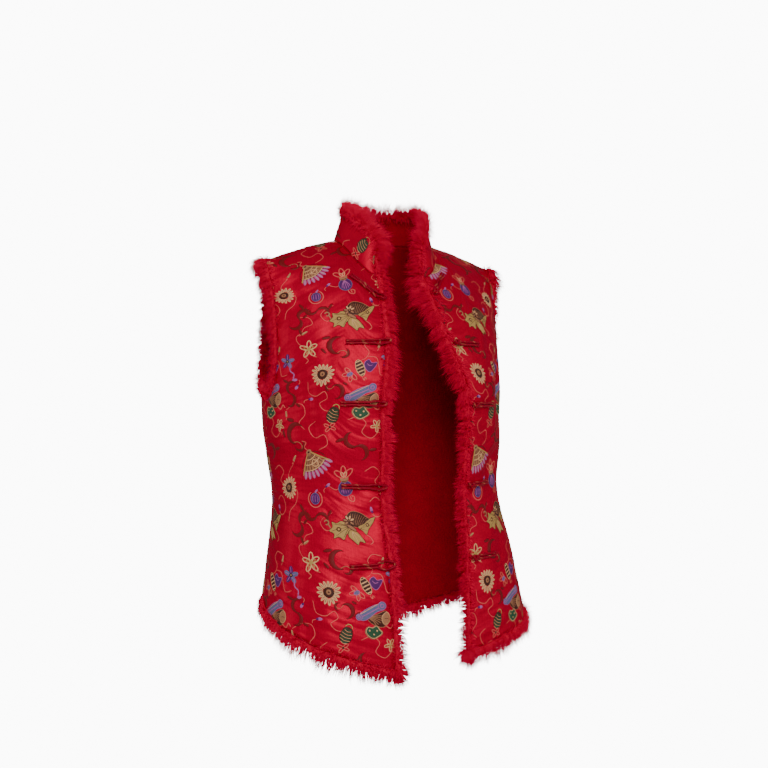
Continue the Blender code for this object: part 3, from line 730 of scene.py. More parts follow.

# %% [markdown]
# ## Dyed fur, cord and threads
#
# Fur is many fine hairs over a dense bed. The hairs are real meshes further down, so the finish
# only has to say how the colour runs from the dark root to the bright tip. The dark root and bed
# are painted shade deep in the pile; the bright tip is the fur's own red. The cord of the frogs
# is twisted from crimson satin, and here and there a gold thread shows on its ridges.
# The weft threads of the motifs share one recipe: fine ribs across the shape, and a little
# change of colour along it.

# %% Fur, cord and thread finishes
# The root colour is painted shade deep in the pile; the middle and tip colours are the fur's own red.
FUR_ROOT_SHADED = (0.34, 0.0001, 0.015)
FUR_MIDDLE = (0.60, 0.0002, 0.033)
FUR_TIP = (0.83, 0.0006, 0.056)


def fur_finish():
    finish = Finish(
        "crimson_fur",
        Sheen_Weight=0.40,
        Sheen_Roughness=0.4,
        Sheen_Tint=(1.0, 0.01, 0.07, 1.0),
        Specular_IOR_Level=0.08,
    )
    along = finish.attribute("along", "Fac")
    place = finish.node("ShaderNodeTexCoord", {}, {}, "Object")
    tufts = finish.noise(place, 130.0, 2.0)
    hairs = finish.noise(place, 900.0, 2.0, 0.7)
    # Low shares, at the hair roots and on the bed, take the dark root colour: painted shade in the
    # pile.
    share = along * 0.85 + tufts * 0.28 - 0.12
    colour = finish.ramp(share, [(0.0, FUR_ROOT_SHADED), (1.0, FUR_TIP), (0.55, FUR_MIDDLE)])
    finish.feed(Base_Color=finish.mix(hairs * 0.45, colour, FUR_MIDDLE))
    finish.feed(Roughness=0.52 + hairs * 0.30)
    finish.bump(hairs, 0.0005, 0.5)
    return finish.material


def cord_finish():
    finish = Finish("twisted_cord", Specular_IOR_Level=0.08)
    ridge = finish.attribute("along", "Fac")
    place = finish.node("ShaderNodeTexCoord", {}, {}, "Object")
    fibres = finish.noise(place, 1900.0, 3.0, 0.6)
    patches = finish.noise(place, 170.0, 1.0) * 4.0 - 1.9
    red = finish.mix(fibres, (0.13, 0.0004, 0.006), (0.27, 0.0008, 0.013))
    gold = finish.mix(fibres, (0.26, 0.06, 0.03), (0.46, 0.17, 0.09))
    edge = finish.node(
        "ShaderNodeMapRange",
        {"interpolation_type": "SMOOTHSTEP"},
        {"Value": ridge, "From Min": 0.80, "From Max": 0.90},
        0,
    )
    finish.feed(Base_Color=finish.mix(edge * patches, red, gold))
    finish.feed(Roughness=0.36 + fibres * 0.2)
    finish.bump(fibres, 0.00018, 0.7)
    return finish.material


THREADS = {
    # name: colour, its darker turn
    "cream": ((0.60, 0.33, 0.16), (0.42, 0.19, 0.09)),
    "tan": ((0.32, 0.14, 0.065), (0.19, 0.07, 0.035)),
    "gold": ((0.38, 0.23, 0.07), (0.25, 0.13, 0.035)),
    "brown": ((0.050, 0.010, 0.006), (0.026, 0.005, 0.003)),
    "plum": ((0.075, 0.008, 0.10), (0.04, 0.004, 0.05)),
    "lilac": ((0.36, 0.10, 0.26), (0.22, 0.05, 0.15)),
    "blue": ((0.11, 0.11, 0.21), (0.055, 0.05, 0.11)),
    "peach": ((0.58, 0.10, 0.07), (0.42, 0.05, 0.04)),
    "green": ((0.020, 0.070, 0.030), (0.010, 0.030, 0.014)),
    "shadow": ((0.14, 0.004, 0.005), (0.095, 0.002, 0.004)),
}
THREAD_RIBS_PER_METRE = 759.93


def thread_finish(name):
    colour, darker = THREADS[name]
    finish = Finish(f"thread_{name}", Specular_IOR_Level=0.12)
    grain = finish.attribute("grain")
    floats = finish.noise(finish.stretched(grain, (300.0, 1700.0, 1.0)), 1.0, 2.0, 0.6)
    ribs = finish.node(
        "ShaderNodeTexWave",
        {"wave_type": "BANDS", "bands_direction": "Y"},
        {"Vector": grain, "Scale": THREAD_RIBS_PER_METRE * WAVE_SCALE, "Distortion": 1.2},
        1,
    )
    finish.feed(Base_Color=finish.mix(floats * 1.1 - 0.15, colour, darker))
    finish.feed(Roughness=0.42 + floats * 0.22)
    finish.bump(ribs * 0.6 + floats, 0.00014, 0.7)
    return finish.material


fur = fur_finish()
twisted_cord = cord_finish()
threads = [thread_finish(name) for name in THREADS]
print("threads:", ", ".join(THREADS))

# %% [markdown]
# ## From points to meshes
#
# Grids, tubes and thousands of hairs all end as one thing: a list of corners and a list of
# faces. Blender can take them through its operators one at a time, or as whole arrays. Arrays
# are used, because the fur alone has more than half a million triangles. Each corner may also
# carry a number of its own, such as its place along a hair, which the finishes read.

# %% Helpers for meshes
def made(name, points, faces, looks, kinds=None, smooth=True, **carried):
    """An object from arrays: its faces all have the same number of corners."""
    points = np.asarray(points, np.float32).reshape(-1, 3)
    faces = np.asarray(faces, np.int32)
    count, sides = faces.shape
    mesh = bpy.data.meshes.new(name)
    mesh.vertices.add(len(points))
    mesh.vertices.foreach_set("co", points.ravel())
    mesh.loops.add(count * sides)
    mesh.loops.foreach_set("vertex_index", faces.ravel())
    mesh.polygons.add(count)
    mesh.polygons.foreach_set("loop_start", np.arange(count, dtype=np.int32) * sides)
    for look in looks:
        mesh.materials.append(look)
    if kinds is not None:
        mesh.polygons.foreach_set("material_index", np.asarray(kinds, np.int32))
    mesh.update(calc_edges=True)
    if smooth:
        mesh.shade_smooth()
    for key, values in carried.items():
        values = np.asarray(values, np.float32)
        form = "FLOAT_VECTOR" if values.ndim == 2 else "FLOAT"
        layer = mesh.attributes.new(key, form, "POINT")
        layer.data.foreach_set("vector" if values.ndim == 2 else "value", values.ravel())
    thing = bpy.data.objects.new(name, mesh)
    bpy.context.scene.collection.objects.link(thing)
    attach(thing, "root")
    return thing


def wall(name, outer, inner, grain, looks):
    """A closed wall between two grids: satin outside and at its rim, lining inside."""
    across, down = outer.shape[:2]
    index = np.arange(across * down).reshape(across, down)
    face = np.stack([index[:-1, :-1], index[1:, :-1], index[1:, 1:], index[:-1, 1:]], -1)
    face = face.reshape(-1, 4)
    rim = np.concatenate([index[:-1, 0], index[-1, :-1], index[:0:-1, -1], index[0, :0:-1]])
    there = np.roll(rim, -1)
    layer = across * down
    strip = np.stack([there, rim, rim + layer, there + layer], -1)
    edge_a, edge_b = outer[1, 1] - outer[0, 0], outer[0, 1] - outer[1, 0]
    faces = np.concatenate([face, face[:, ::-1] + layer, strip])
    if (np.cross(edge_a, edge_b) * (outer[0, 0] - inner[0, 0])).sum() > 0:
        faces = faces[:, ::-1]
    kinds = np.repeat([0, 1, 0], [len(face), len(face), len(strip)])
    points = np.concatenate([outer.reshape(-1, 3), inner.reshape(-1, 3)])
    carried = np.concatenate([grain.reshape(-1, 3)] * 2)
    return made(name, points, faces, looks, kinds, grain=carried)


def spans(grid, axis):
    """Running lengths along one axis of a grid of points."""
    steps = np.linalg.norm(np.diff(grid, axis=axis), axis=-1)
    start = np.zeros_like(np.take(steps, [0], axis=axis))
    return np.cumsum(np.concatenate([start, steps], axis=axis), axis=axis)


def grain_of(grid, middle=0):
    """Metres across and down the cloth at each point of a panel's grid."""
    across = spans(grid, 0)
    across = across - across[middle : middle + 1]
    down = np.broadcast_to(spans(grid, 1)[middle], across.shape)
    return np.stack([across, down, 0 * down], -1)


def areas(grid):
    """The area of each cell of a grid of points."""
    one, other = grid[1:, 1:] - grid[:-1, :-1], grid[:-1, 1:] - grid[1:, :-1]
    return np.linalg.norm(np.cross(one, other), axis=-1) / 2


print("helpers ready")

# %% [markdown]
# ## Fronts and back
#
# A sewn panel is a thin wall: satin outside, the soft back of the fur inside. It could be an
# open sheet with a Solidify modifier. Two grids of points are joined instead, so that the rim
# and the two faces can have their own finishes. Each wall takes the place of its plainer solid.

# %% Panels of the vest
panels = {
    "front_right": (fronts[-1], 0),
    "front_left": (fronts[1], 0),
    "back": (back, BACK_CELLS[0] // 2),
}
cut_sizes = {}
for name, (faces, middle) in panels.items():
    grain = grain_of(faces[0], middle)
    panel = wall(f"cloth_{name}", *faces, grain, [satin, lining])
    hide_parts(name)
    width = float(np.ptp(grain[..., 0], axis=0).max())
    length = float(spans(faces[0], 1)[:, -1].max())
    cut_sizes[name] = (round(width, 3), round(length, 3), round(float(areas(faces[0]).sum()), 4))
print("cut width, length and area:", cut_sizes)

# %% [markdown]
# ## Stand collar
#
# The collar is a straight band about 40 mm high, cut with rounded front ends and sewn to the
# neckline, with its lower edge tucked in. It could be bent by a curve modifier. Here each of
# its points is found from the neckline, the way the seam runs and the upright, so the collar
# meets the panels all round and leans in to the neck a little.

# %% Collar
COLLAR_HEIGHT = 0.040
COLLAR_END_SHARE = 0.35
COLLAR_ROUND = 0.028
COLLAR_LEAN = 0.30
COLLAR_UPRIGHT = 0.55
COLLAR_RISE_CELLS = 10
COLLAR_TUCK = 0.0010


def neck_line():
    """The collar seam from the right front edge round the back to the left front edge."""
    front = shares(0, 1, round(FRONT_CELLS[0] * NECK_SHARE))
    behind = shares(0, 1, round(BACK_CELLS[0] // 2 * NECK_SHARE) * 2)
    right = np.concatenate([neckline_front(-1, front), neckline_back(behind)[1:]])
    left = np.concatenate([neckline_front(1, front), neckline_back(behind)[1:]])
    points = [cloth(-1, right[:, 0], right[:, 1]), cloth(1, left[:, 0], left[:, 1])[::-1]]
    return np.concatenate([points[0], points[1][1:]])


def collar_faces():
    line = neck_line()
    along = unit(np.gradient(line, axis=0))
    up = np.array([0.0, 0.0, 1.0])
    outward = unit(np.cross(up, along))
    rising = unit(np.cross(along, outward))
    rising *= np.sign(rising[:, 2:])
    outward *= np.sign(((line - line.mean(0)) * outward).sum(-1, keepdims=True))
    rise = unit(rising * (1 - COLLAR_UPRIGHT) + up * COLLAR_UPRIGHT - outward * COLLAR_LEAN)
    face = unit(np.cross(along, rise))
    face *= np.sign((face * outward).sum(-1, keepdims=True))
    steps = np.concatenate([[0], np.cumsum(np.linalg.norm(np.diff(line, axis=0), axis=1))])
    from_end = np.clip(np.minimum(steps, steps[-1] - steps) / COLLAR_ROUND, 0, 1)
    share = COLLAR_END_SHARE + (1 - COLLAR_END_SHARE) * np.sqrt(1 - (1 - from_end) ** 2)
    height = COLLAR_HEIGHT * share
    climb = shares(0, 1, COLLAR_RISE_CELLS)[None, :, None]
    climb = (height[:, None, None] + COLLAR_TUCK) * climb - COLLAR_TUCK
    outer = line[:, None] + rise[:, None] * climb
    return outer, outer - face[:, None] * WALL


collar = collar_faces()
grain = grain_of(collar[0])
collar_band = wall("cloth_collar", *collar, grain, [satin, lining])
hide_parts("collar")
cut_sizes["collar"] = (
    round(float(grain[-1, 0, 0]), 3),
    COLLAR_HEIGHT + COLLAR_TUCK,
    round(float(areas(collar[0]).sum()), 4),
)
print("collar:", cut_sizes["collar"])

# %% [markdown]
# ## Woven motifs: drawing with thread
#
# The brocade's figures are woven in with coloured weft threads that float over the satin, so
# they stand a little proud and have a crisp edge. They could be painted on with an image, but a
# thread that stands up catches the light. Each figure is drawn flat in millimetres, as patches
# and lines of one thread. A patch is cut into triangles with a soft rim, and a line is a ribbon
# with a raised middle.

# %% A sketch of one figure
RIM = 0.40
LAYER_STEP = 0.10
SUNK = 0.06
PROUD = 0.24
OUTLINE_STEP = 1.5
LATTICE_STEP = 3.6
EDGE_WIDTH = 0.7
LINE_RISE = 0.12
RIM_ROUNDNESS = 0.6
POINTS_AT_ONCE = 20000
THREAD_INDEX = {name: k for k, name in enumerate(THREADS)}


def resampled(path, step, joined=False):
    """Points an even step apart on a smooth curve through the given ones."""
    path = np.asarray(path, float)
    if joined:
        path = np.concatenate([path[-3:], path, path[:3]])
    run = np.concatenate([[0], np.cumsum(np.linalg.norm(np.diff(path, axis=0), axis=1))])
    first, last = (run[3], run[-3]) if joined else (0.0, run[-1])
    where = np.linspace(first, last, max(5, round((last - first) / step) + 1))
    where = where[:-1] if joined else where
    return table_at(where, np.concatenate([run[:, None], path], 1))


def oval(x, y, along, across, turn=0.0, start=0.0, end=360.0):
    """Points of an oval, or of the arc between two of its angles in degrees."""
    count = max(7, round((abs(end - start) / 360) * math.pi * (along + across) / OUTLINE_STEP))
    at = np.radians(np.linspace(start, end, count + 1))
    if abs(end - start) == 360:
        at = at[:-1]
    tilt = math.radians(turn)
    u, v = along * np.cos(at), across * np.sin(at)
    right = x + u * math.cos(tilt) - v * math.sin(tilt)
    return np.stack([right, y + u * math.sin(tilt) + v * math.cos(tilt)], -1)


def from_edge(points, outline):
    """The distance of each point to a closed outline."""
    a, b = outline, np.roll(outline, -1, axis=0)
    way = b - a
    share = ((points[:, None] - a) * way).sum(-1) / np.maximum((way**2).sum(-1), 1e-9)
    nearest = a + way * np.clip(share, 0, 1)[..., None]
    return np.linalg.norm(points[:, None] - nearest, axis=-1).min(1)


def is_inside(points, outline):
    """Whether each point lies inside a closed outline, by the crossings of a level ray."""
    a, b = outline, np.roll(outline, -1, axis=0)
    kept = np.zeros(len(points), bool)
    for start in range(0, len(points), POINTS_AT_ONCE):
        part = slice(start, start + POINTS_AT_ONCE)
        x, y = points[part, :1], points[part, 1:]
        spans_it = (a[:, 1] > y) != (b[:, 1] > y)
        rise = np.where(b[:, 1] == a[:, 1], 1e-9, b[:, 1] - a[:, 1])
        cross = a[:, 0] + (y - a[:, 1]) * (b[:, 0] - a[:, 0]) / rise
        kept[part] = (spans_it & (x < cross)).sum(1) % 2 == 1
    return kept


class Sketch:
    """Patches and lines of thread round a middle, x to the right and y up, in millimetres."""

    def __init__(self):
        self.parts = []

    def patch(self, outline, thread, layer=0, edge=None):
        outline = np.asarray(outline, float)
        inner = np.roll(outline, -1, axis=0) - np.roll(outline, 1, axis=0)
        inner = np.stack([-inner[:, 1], inner[:, 0]], -1)
        area = (outline[:, 0] * np.roll(outline[:, 1], -1)).sum()
        area -= (outline[:, 1] * np.roll(outline[:, 0], -1)).sum()
        inner *= np.sign(area) / np.maximum(np.linalg.norm(inner, axis=1, keepdims=True), 1e-9)
        low, high = outline.min(0), outline.max(0)
        xs = np.arange(low[0] + 0.7, high[0], LATTICE_STEP)
        ys = np.arange(low[1] + 0.7, high[1], LATTICE_STEP)
        lattice = np.stack(np.meshgrid(xs, ys), -1).reshape(-1, 2)
        extra = np.concatenate([outline + inner * RIM, lattice])
        depth = from_edge(extra, outline)
        limit = np.repeat([RIM * 0.85, RIM * 2.6], [len(outline), len(lattice)])
        extra = extra[is_inside(extra, outline) & (depth > limit)]
        points = np.concatenate([outline, extra])
        loop = list(range(len(outline)))
        found = delaunay_2d_cdt([Vector(p) for p in points], [], [loop], 1, 1e-5)
        points = np.array(found[0], float).reshape(-1, 2)
        rise = np.clip(from_edge(points, outline) / RIM, 0, 1) ** RIM_ROUNDNESS
        height = layer * LAYER_STEP - SUNK + (PROUD + SUNK) * rise
        self.parts.append((points, height, np.array(found[2], int), THREAD_INDEX[thread]))
        if edge:
            self.line(outline, edge, EDGE_WIDTH, layer + 1, True)

    def line(self, path, thread, width=1.4, layer=1, joined=False, step=1.8):
        path = resampled(path, step, joined)
        if joined:
            way = np.roll(path, -1, axis=0) - np.roll(path, 1, axis=0)
            size = np.full(len(path), width / 2)
        else:
            way = np.gradient(path, axis=0)
            ends = np.sin(np.linspace(0.25, math.pi - 0.25, len(path)))
            size = width / 2 * np.clip(ends * 2.4, 0, 1)
        side = np.stack([-way[:, 1], way[:, 0]], -1) / np.linalg.norm(way, axis=1)[:, None]
        side = side * size[:, None]
        points = np.stack([path - side, path, path + side], 1).reshape(-1, 2)
        high = layer * LAYER_STEP + PROUD
        low = high - (LINE_RISE if layer else PROUD + SUNK)
        height = np.tile([low, high, low], len(path))
        index = np.arange(len(path) * 3).reshape(-1, 3)
        here, after = (index, np.roll(index, -1, axis=0)) if joined else (index[:-1], index[1:])
        quads = np.concatenate(
            [
                np.stack([here[:, k], after[:, k], after[:, k + 1], here[:, k + 1]], -1)
                for k in (0, 1)
            ]
        )
        triangles = np.concatenate([quads[:, [0, 1, 2]], quads[:, [0, 2, 3]]])
        self.parts.append((points, height, triangles, THREAD_INDEX[thread]))

    def loops(self, x, y, size, turns, thread, width=1.2, slim=0.42):
        """Open loops of cord round a point, as a tied bow has."""
        for turn in turns:
            tilt = math.radians(turn)
            centre = x + size * math.cos(tilt), y + size * math.sin(tilt)
            self.line(oval(*centre, size, size * slim, turn), thread, width, 1, True)


print("a sketch has patches and lines")

# %% [markdown]
# ## Woven motifs: the figures
#
# The figures are the usual good-luck signs of such silks: a butterfly, a fan, a daisy, a lotus,
# a purse, a bow, a berry, buds, a tied flower, a rolled scroll, a tassel and curling clouds,
# joined by winding cords. Each is a short function of arcs and curves. They are drawn fresh in
# the sizes and colours of the real cloth, and a few numbers change each one.

# %% Daisy, berry, bow and purse
def daisy():
    figure = Sketch()
    for turn in np.arange(0, 360, 22.5):
        tilt = math.radians(turn)
        long = 1.0 + 0.10 * math.sin(3 * tilt)
        x, y = 10.0 * math.cos(tilt) * long, 10.0 * math.sin(tilt) * long
        figure.patch(oval(x, y, 4.4, 1.8, turn), "cream")
        figure.line([(x * 0.72, y * 0.72), (x, y), (x * 1.2, y * 1.2)], "brown", 0.6, 1)
    figure.patch(oval(0, 0, 6.6, 6.4), "brown", 1)
    figure.patch(oval(0, 0.4, 3.2, 3.4), "tan", 2)
    figure.patch(oval(0.3, 0.2, 1.4, 1.4), "brown", 3)
    return figure


def berry():
    figure = Sketch()
    figure.patch(oval(0, 0, 5.4, 6.4), "plum", 0, "blue")
    for shift in (-2.6, 0.0, 2.6):
        figure.line([(shift, -4.0), (shift * 1.25, 0.0), (shift * 0.8, 4.2)], "lilac", 0.7, 1)
    figure.line(oval(0, -0.5, 8.4, 9.4, 0, -235, 60), "peach", 1.2)
    figure.patch(oval(1.5, 8.6, 2.6, 1.2, 50), "lilac", 1)
    return figure


def bow():
    figure = Sketch()
    figure.loops(0, 0, 5.6, (20, 75, 150, 230, 300), "cream", 1.3)
    figure.loops(0, 0, 3.2, (20, 150, 230, 300), "gold", 1.0)
    figure.patch(oval(0, 0, 3.0, 2.4, 30), "gold", 2)
    figure.line([(-2, -3), (-6, -9), (-3, -14), (-7, -17)], "peach", 1.1)
    figure.line([(2, -3), (4, -10), (8, -12)], "peach", 1.1)
    return figure


def purse():
    figure = Sketch()
    figure.patch(oval(0, -7, 7.6, 8.2), "plum", 0, "blue")
    for turn in (-52, -26, 0, 26, 52):
        tilt = math.radians(turn)
        foot = 6.2 * math.sin(tilt), -7 - 6.2 * math.cos(tilt)
        figure.line([(0, -1.0), (foot[0] * 0.7, -6.0), foot], "lilac", 0.8, 1)
    figure.patch(bent([(-3.4, 0), (3.4, 0), (4.6, 5.0), (0, 3.8), (-4.6, 5.0)]), "tan", 1)
    figure.line([(-3.4, 1.2), (0, 0.6), (3.4, 1.2)], "brown", 0.9, 2)
    figure.loops(0, 5, 6.4, (40, 90, 140), "peach", 1.2)
    figure.loops(0, 5, 3.4, (65, 115), "cream", 0.9)
    figure.line([(1, -15), (2, -20), (7, -22), (8, -17), (4, -16), (5, -20)], "peach", 1.1)
    return figure


def bent(points):
    """A closed outline on a smooth curve through a few points."""
    return resampled(points, OUTLINE_STEP, True)


print("daisy triangles:", sum(len(part[2]) for part in daisy().parts))

# %% Butterfly, fan and lotus
def butterfly():
    """Seen from the side, as it settles on a flower: a dark wing, pale wings and eye spots."""
    figure = Sketch()
    dark = [(-3, 13), (4, 21), (14, 20), (26, 13), (31, 10), (20, 2), (9, 1), (0, 4)]
    figure.patch(bent(dark), "brown", 0, "tan")
    for share in np.linspace(0.06, 0.94, 9):
        foot = 1 + 17 * share, 4.5 - 2.5 * share
        top = 2 + 27 * share, 19 - 8 * share**2
        middle = (foot[0] + top[0]) / 2, (foot[1] + top[1]) / 2 + 1
        figure.line([foot, middle, top], "tan", 0.6, 1)
    tip = [(11, 1), (20, 6), (30, 13), (35, 14), (32, 7), (25, -2), (21, -9), (17, -4)]
    figure.patch(bent(tip), "gold", 1, "brown")
    for foot in ((30, 10), (29, 4), (23, -4)):
        figure.line([(14, -1), ((14 + foot[0]) / 2, foot[1] / 2), foot], "brown", 0.6, 2)
    left = [
        (-3, 6), (-10, 9), (-16, 6), (-22, 8), (-22, 1), (-27, -4), (-21, -8), (-22, -14),
        (-15, -12), (-9, -16), (-5, -9), (3, -3),
    ]
    figure.patch(bent(left), "gold", 1, "brown")
    for foot in ((-14, 6), (-20, 5), (-23, -4), (-19, -11), (-9, -13)):
        figure.line([(0, 1), (foot[0] / 2, foot[1] / 2 + 1), foot], "brown", 0.6, 2)
    tail = [(0, -3), (9, -5), (14, -11), (18, -20), (11, -18), (9, -22), (3, -17), (-3, -10)]
    figure.patch(bent(tail), "gold", 2, "brown")
    for foot in ((4, -15), (9, -19), (14, -16)):
        figure.line([(3, -5), (foot[0] * 0.7, foot[1] * 0.6), foot], "cream", 0.7, 3)
    for x, y, size in ((-14, -2, 3.2), (24, 4, 2.6)):
        figure.patch(oval(x, y, size, size), "brown", 3)
        figure.patch(oval(x, y, size * 0.62, size * 0.62), "gold", 4)
        figure.patch(oval(x, y, size * 0.34, size * 0.34), "cream", 5)
    figure.patch(oval(3, 0, 7.0, 2.2, -35), "tan", 3, "brown")
    for turn in (20, 70, 120, 170, 220, 320):
        tilt = math.radians(turn)
        x, y = 0.5 + 4.6 * math.cos(tilt), 9 + 4.6 * math.sin(tilt)
        figure.patch(oval(x, y, 3.2, 1.6, turn), "cream" if turn < 150 else "tan", 3, "brown")
    figure.patch(oval(0.5, 9, 2.0, 2.0), "brown", 5)
    figure.patch(oval(0.5, 9, 0.9, 0.9), "cream", 6)
    figure.line(oval(-29, 7, 3.0, 3.0, 0, -120, 170), "tan", 2.0, 1)
    figure.line([(-27, 5), (-25, 1), (-24, -2)], "tan", 1.6, 1)
    figure.line([(20, -8), (26, -13), (28, -19), (24, -22)], "peach", 1.1)
    return figure


FAN_PIVOT = -15.0


def fan():
    figure = Sketch()

    def ray(radius, turn):
        tilt = math.radians(turn)
        return radius * math.cos(tilt), FAN_PIVOT + radius * math.sin(tilt)

    outline = [ray(25, turn) for turn in np.linspace(54, 132, 10)]
    outline += [ray(5, turn) for turn in np.linspace(126, 60, 4)]
    figure.patch(np.array(outline), "tan", 0, "brown")
    for turn in np.arange(60.0, 131.0, 10.0):
        figure.line([ray(6, turn), ray(15, turn), ray(25, turn)], "brown", 0.8, 1)
        x, y = ray(29, turn)
        figure.patch(oval(x, y, 5.2, 2.0, turn), "lilac", 1)
        figure.line([ray(25, turn), ray(29, turn), ray(33, turn)], "cream", 0.6, 2)
    for radius in (11.0, 17.0, 24.0):
        figure.line([ray(radius, turn) for turn in np.linspace(58, 128, 7)], "cream", 1.1, 2)
    wave = [ray(13, 100), ray(17, 112), ray(22, 104), ray(20, 90)]
    figure.line(bent(wave), "cream", 1.0, 3, True)
    for turn in (54.0, 132.0):
        figure.line([ray(1, turn), ray(16, turn), ray(30, turn)], "gold", 1.6, 2)
    figure.patch(oval(0, FAN_PIVOT + 2, 4.0, 3.4), "tan", 2)
    figure.patch(oval(0, FAN_PIVOT + 2, 2.0, 1.6), "brown", 3)
    tail = [(x, FAN_PIVOT - down) for x, down in ((0, 0), (3, 6), (-2, 10), (2, 14))]
    figure.line(tail, "peach", 1.1)
    return figure


def lotus():
    """A striped pod with a purple leaf and a few open loops."""
    figure = Sketch()
    heart = [(3, 9), (7, 13), (11, 10), (17, 12), (16, 5), (12, -1), (6, 2)]
    figure.patch(bent(heart), "plum", 0, "lilac")
    figure.line([(6, 8), (10, 6), (13, 8)], "lilac", 0.9, 1)
    figure.patch(oval(0, 1, 10.5, 4.6, -52), "brown", 1, "cream")
    for share in np.linspace(-0.78, 0.78, 5):
        x, y = -6.5 * share, 1 + 8.3 * share
        half = 4.2 * math.sqrt(1 - share**2)
        stripe = [(x + half * 0.79 * k, y + half * 0.62 * k) for k in (-1, 0, 1)]
        figure.line(stripe, "cream", 1.5, 2)
    figure.patch(oval(-9, -9, 3.6, 2.4, 40), "blue", 1, "lilac")
    figure.loops(-8, -8, 5.0, (150, 205, 285, 330), "peach", 1.1)
    figure.loops(-8, -8, 2.8, (150, 285), "peach", 0.8)
    figure.line([(6, -9), (10, -12), (9, -8), (12, -10)], "peach", 1.1)
    return figure


print("butterfly triangles:", sum(len(part[2]) for part in butterfly().parts))

# %% Scroll, bud, tied flower and cloud
def scroll():
    figure = Sketch()
    roll = [(-20, -5), (-14, -9), (8, 3), (18, 8), (16, 15), (8, 13), (-14, 1)]
    figure.patch(bent(roll), "blue", 1, "lilac")
    figure.line([(-14, -5), (2, 4), (13, 10)], "lilac", 1.2, 2)
    figure.line([(-17, -2), (-2, 7), (10, 14)], "cream", 0.9, 2)
    for x, y, size in ((14, 11, 5.4), (-17, -5, 4.2)):
        figure.patch(oval(x, y, size, size), "blue", 2, "lilac")
        figure.patch(oval(x, y, size * 0.6, size * 0.6), "lilac", 3)
        figure.patch(oval(x, y, size * 0.38, size * 0.38), "blue", 4)
    figure.patch(bent([(-6, -6), (4, -15), (18, -16), (24, -4), (20, 4), (8, 0)]), "brown", 0, "tan")
    for share in np.linspace(0, 1, 6):
        tip = 6 + 16 * share, -15 + 12 * share**1.4
        middle = tip[0] * 0.6, tip[1] * 0.75
        figure.line([(-4 + 4 * share, -6 + 3 * share), middle, tip], "tan", 1.1, 1)
    figure.patch(bent([(14, -3), (21, 3), (25, -4), (22, -12), (17, -13)]), "tan", 2, "cream")
    figure.line([(17, -6), (20, -5), (23, -6)], "brown", 0.8, 3)
    leaf = [
        (0, -18), (7, -15), (11, -20), (15, -24), (9, -30), (2, -33), (-6, -29), (-9, -23),
        (-5, -17),
    ]
    figure.patch(bent(leaf), "green", 2, "tan")
    figure.line(bent(np.array(leaf) * (0.9, 0.9) + (0.4, -2.3)), "cream", 0.9, 3, True)
    for x, y in ((-3, -22), (3, -27), (7, -22)):
        figure.patch(oval(x, y, 1.5, 1.5), "cream", 3)
    figure.line([(18, -14), (26, -18), (30, -12), (34, -16)], "peach", 1.6)
    return figure


def bud():
    figure = Sketch()
    figure.patch(bent([(-4, 12), (4, 12), (8, 4), (7, -6), (0, -10), (-7, -6), (-8, 4)]), "brown")
    for height, width in ((9, 4.6), (5, 6.8), (1, 7.4), (-3, 7.0), (-7, 4.6)):
        figure.line([(-width, height + 1), (0, height - 0.8), (width, height + 1)], "green", 1.5, 1)
        figure.line([(-width, height - 1), (0, height - 2.6), (width, height - 1)], "cream", 0.7, 1)
    figure.line([(-5, 12), (-2, 16), (2, 16), (5, 12)], "gold", 1.2, 2)
    figure.loops(2, -15, 4.2, (0, 60, 180, 250), "peach", 1.1)
    figure.patch(oval(2, -15, 1.8, 1.8), "brown", 2)
    return figure


def tied_flower():
    figure = Sketch()
    for turn in (0, 72, 144, 216, 288):
        tilt = math.radians(turn)
        x, y = 5.5 * math.cos(tilt), 5.5 * math.sin(tilt)
        figure.patch(oval(x, y, 5.0, 2.8, turn), "plum" if turn % 144 else "blue")
        figure.line([(x * 0.4, y * 0.4), (x, y), (x * 1.7, y * 1.7)], "lilac", 0.8, 1)
    figure.patch(oval(0, 0, 2.4, 2.4), "brown", 2)
    figure.patch(oval(0, 0, 1.0, 1.0), "cream", 3)
    figure.line([(3, -5), (1, -13), (5, -19), (3, -24)], "lilac", 1.6)
    figure.patch(oval(4, -26, 1.8, 3.4, 80), "lilac", 1)
    return figure


def crescent(x, y, size, turn, thick):
    """A closed outline that is thick in the middle and thin at both ends."""
    tilt = math.radians(turn)
    outer = oval(0, 0, size, size, 0, 50, 310)
    inner = oval(thick, 0, size * 0.78, size * 0.82, 0, 310, 50)
    bow = np.concatenate([outer, inner])
    spin = np.array([[math.cos(tilt), math.sin(tilt)], [-math.sin(tilt), math.cos(tilt)]])
    return bow @ spin + (x, y)


def cloud():
    """Dull brown crescents that lie under the bright figures, like a cloud with a tail."""
    figure = Sketch()
    figure.patch(crescent(0, 2, 13.0, 10, 4.6), "shadow")
    figure.patch(crescent(13, -7, 7.0, 160, 2.8), "shadow")
    figure.patch(oval(-15, 10, 6.0, 2.4, 25), "shadow")
    figure.patch(oval(-14, -9, 5.0, 2.0, -35), "shadow")
    figure.line([(4, -8), (9, -4), (15, -5), (17, -9)], "tan", 0.8, 1)
    return figure


def drift():
    """The same cloud pulled out into a long wave."""
    figure = Sketch()
    figure.patch(crescent(-9, 4, 10.0, 60, 3.6), "shadow")
    figure.patch(crescent(8, -3, 10.0, 235, 3.8), "shadow")
    figure.patch(oval(20, 4, 6.0, 2.2, 50), "shadow")
    figure.patch(oval(-20, -6, 5.0, 2.2, 40), "shadow")
    return figure


def small_bud():
    figure = Sketch()
    figure.patch(oval(0, 0, 3.4, 2.0, 30), "lilac")
    figure.patch(oval(-2.4, -1.4, 2.0, 1.5, 30), "plum", 1)
    figure.line([(-4, -3), (-7, -6), (-6, -9)], "peach", 1.0)
    return figure


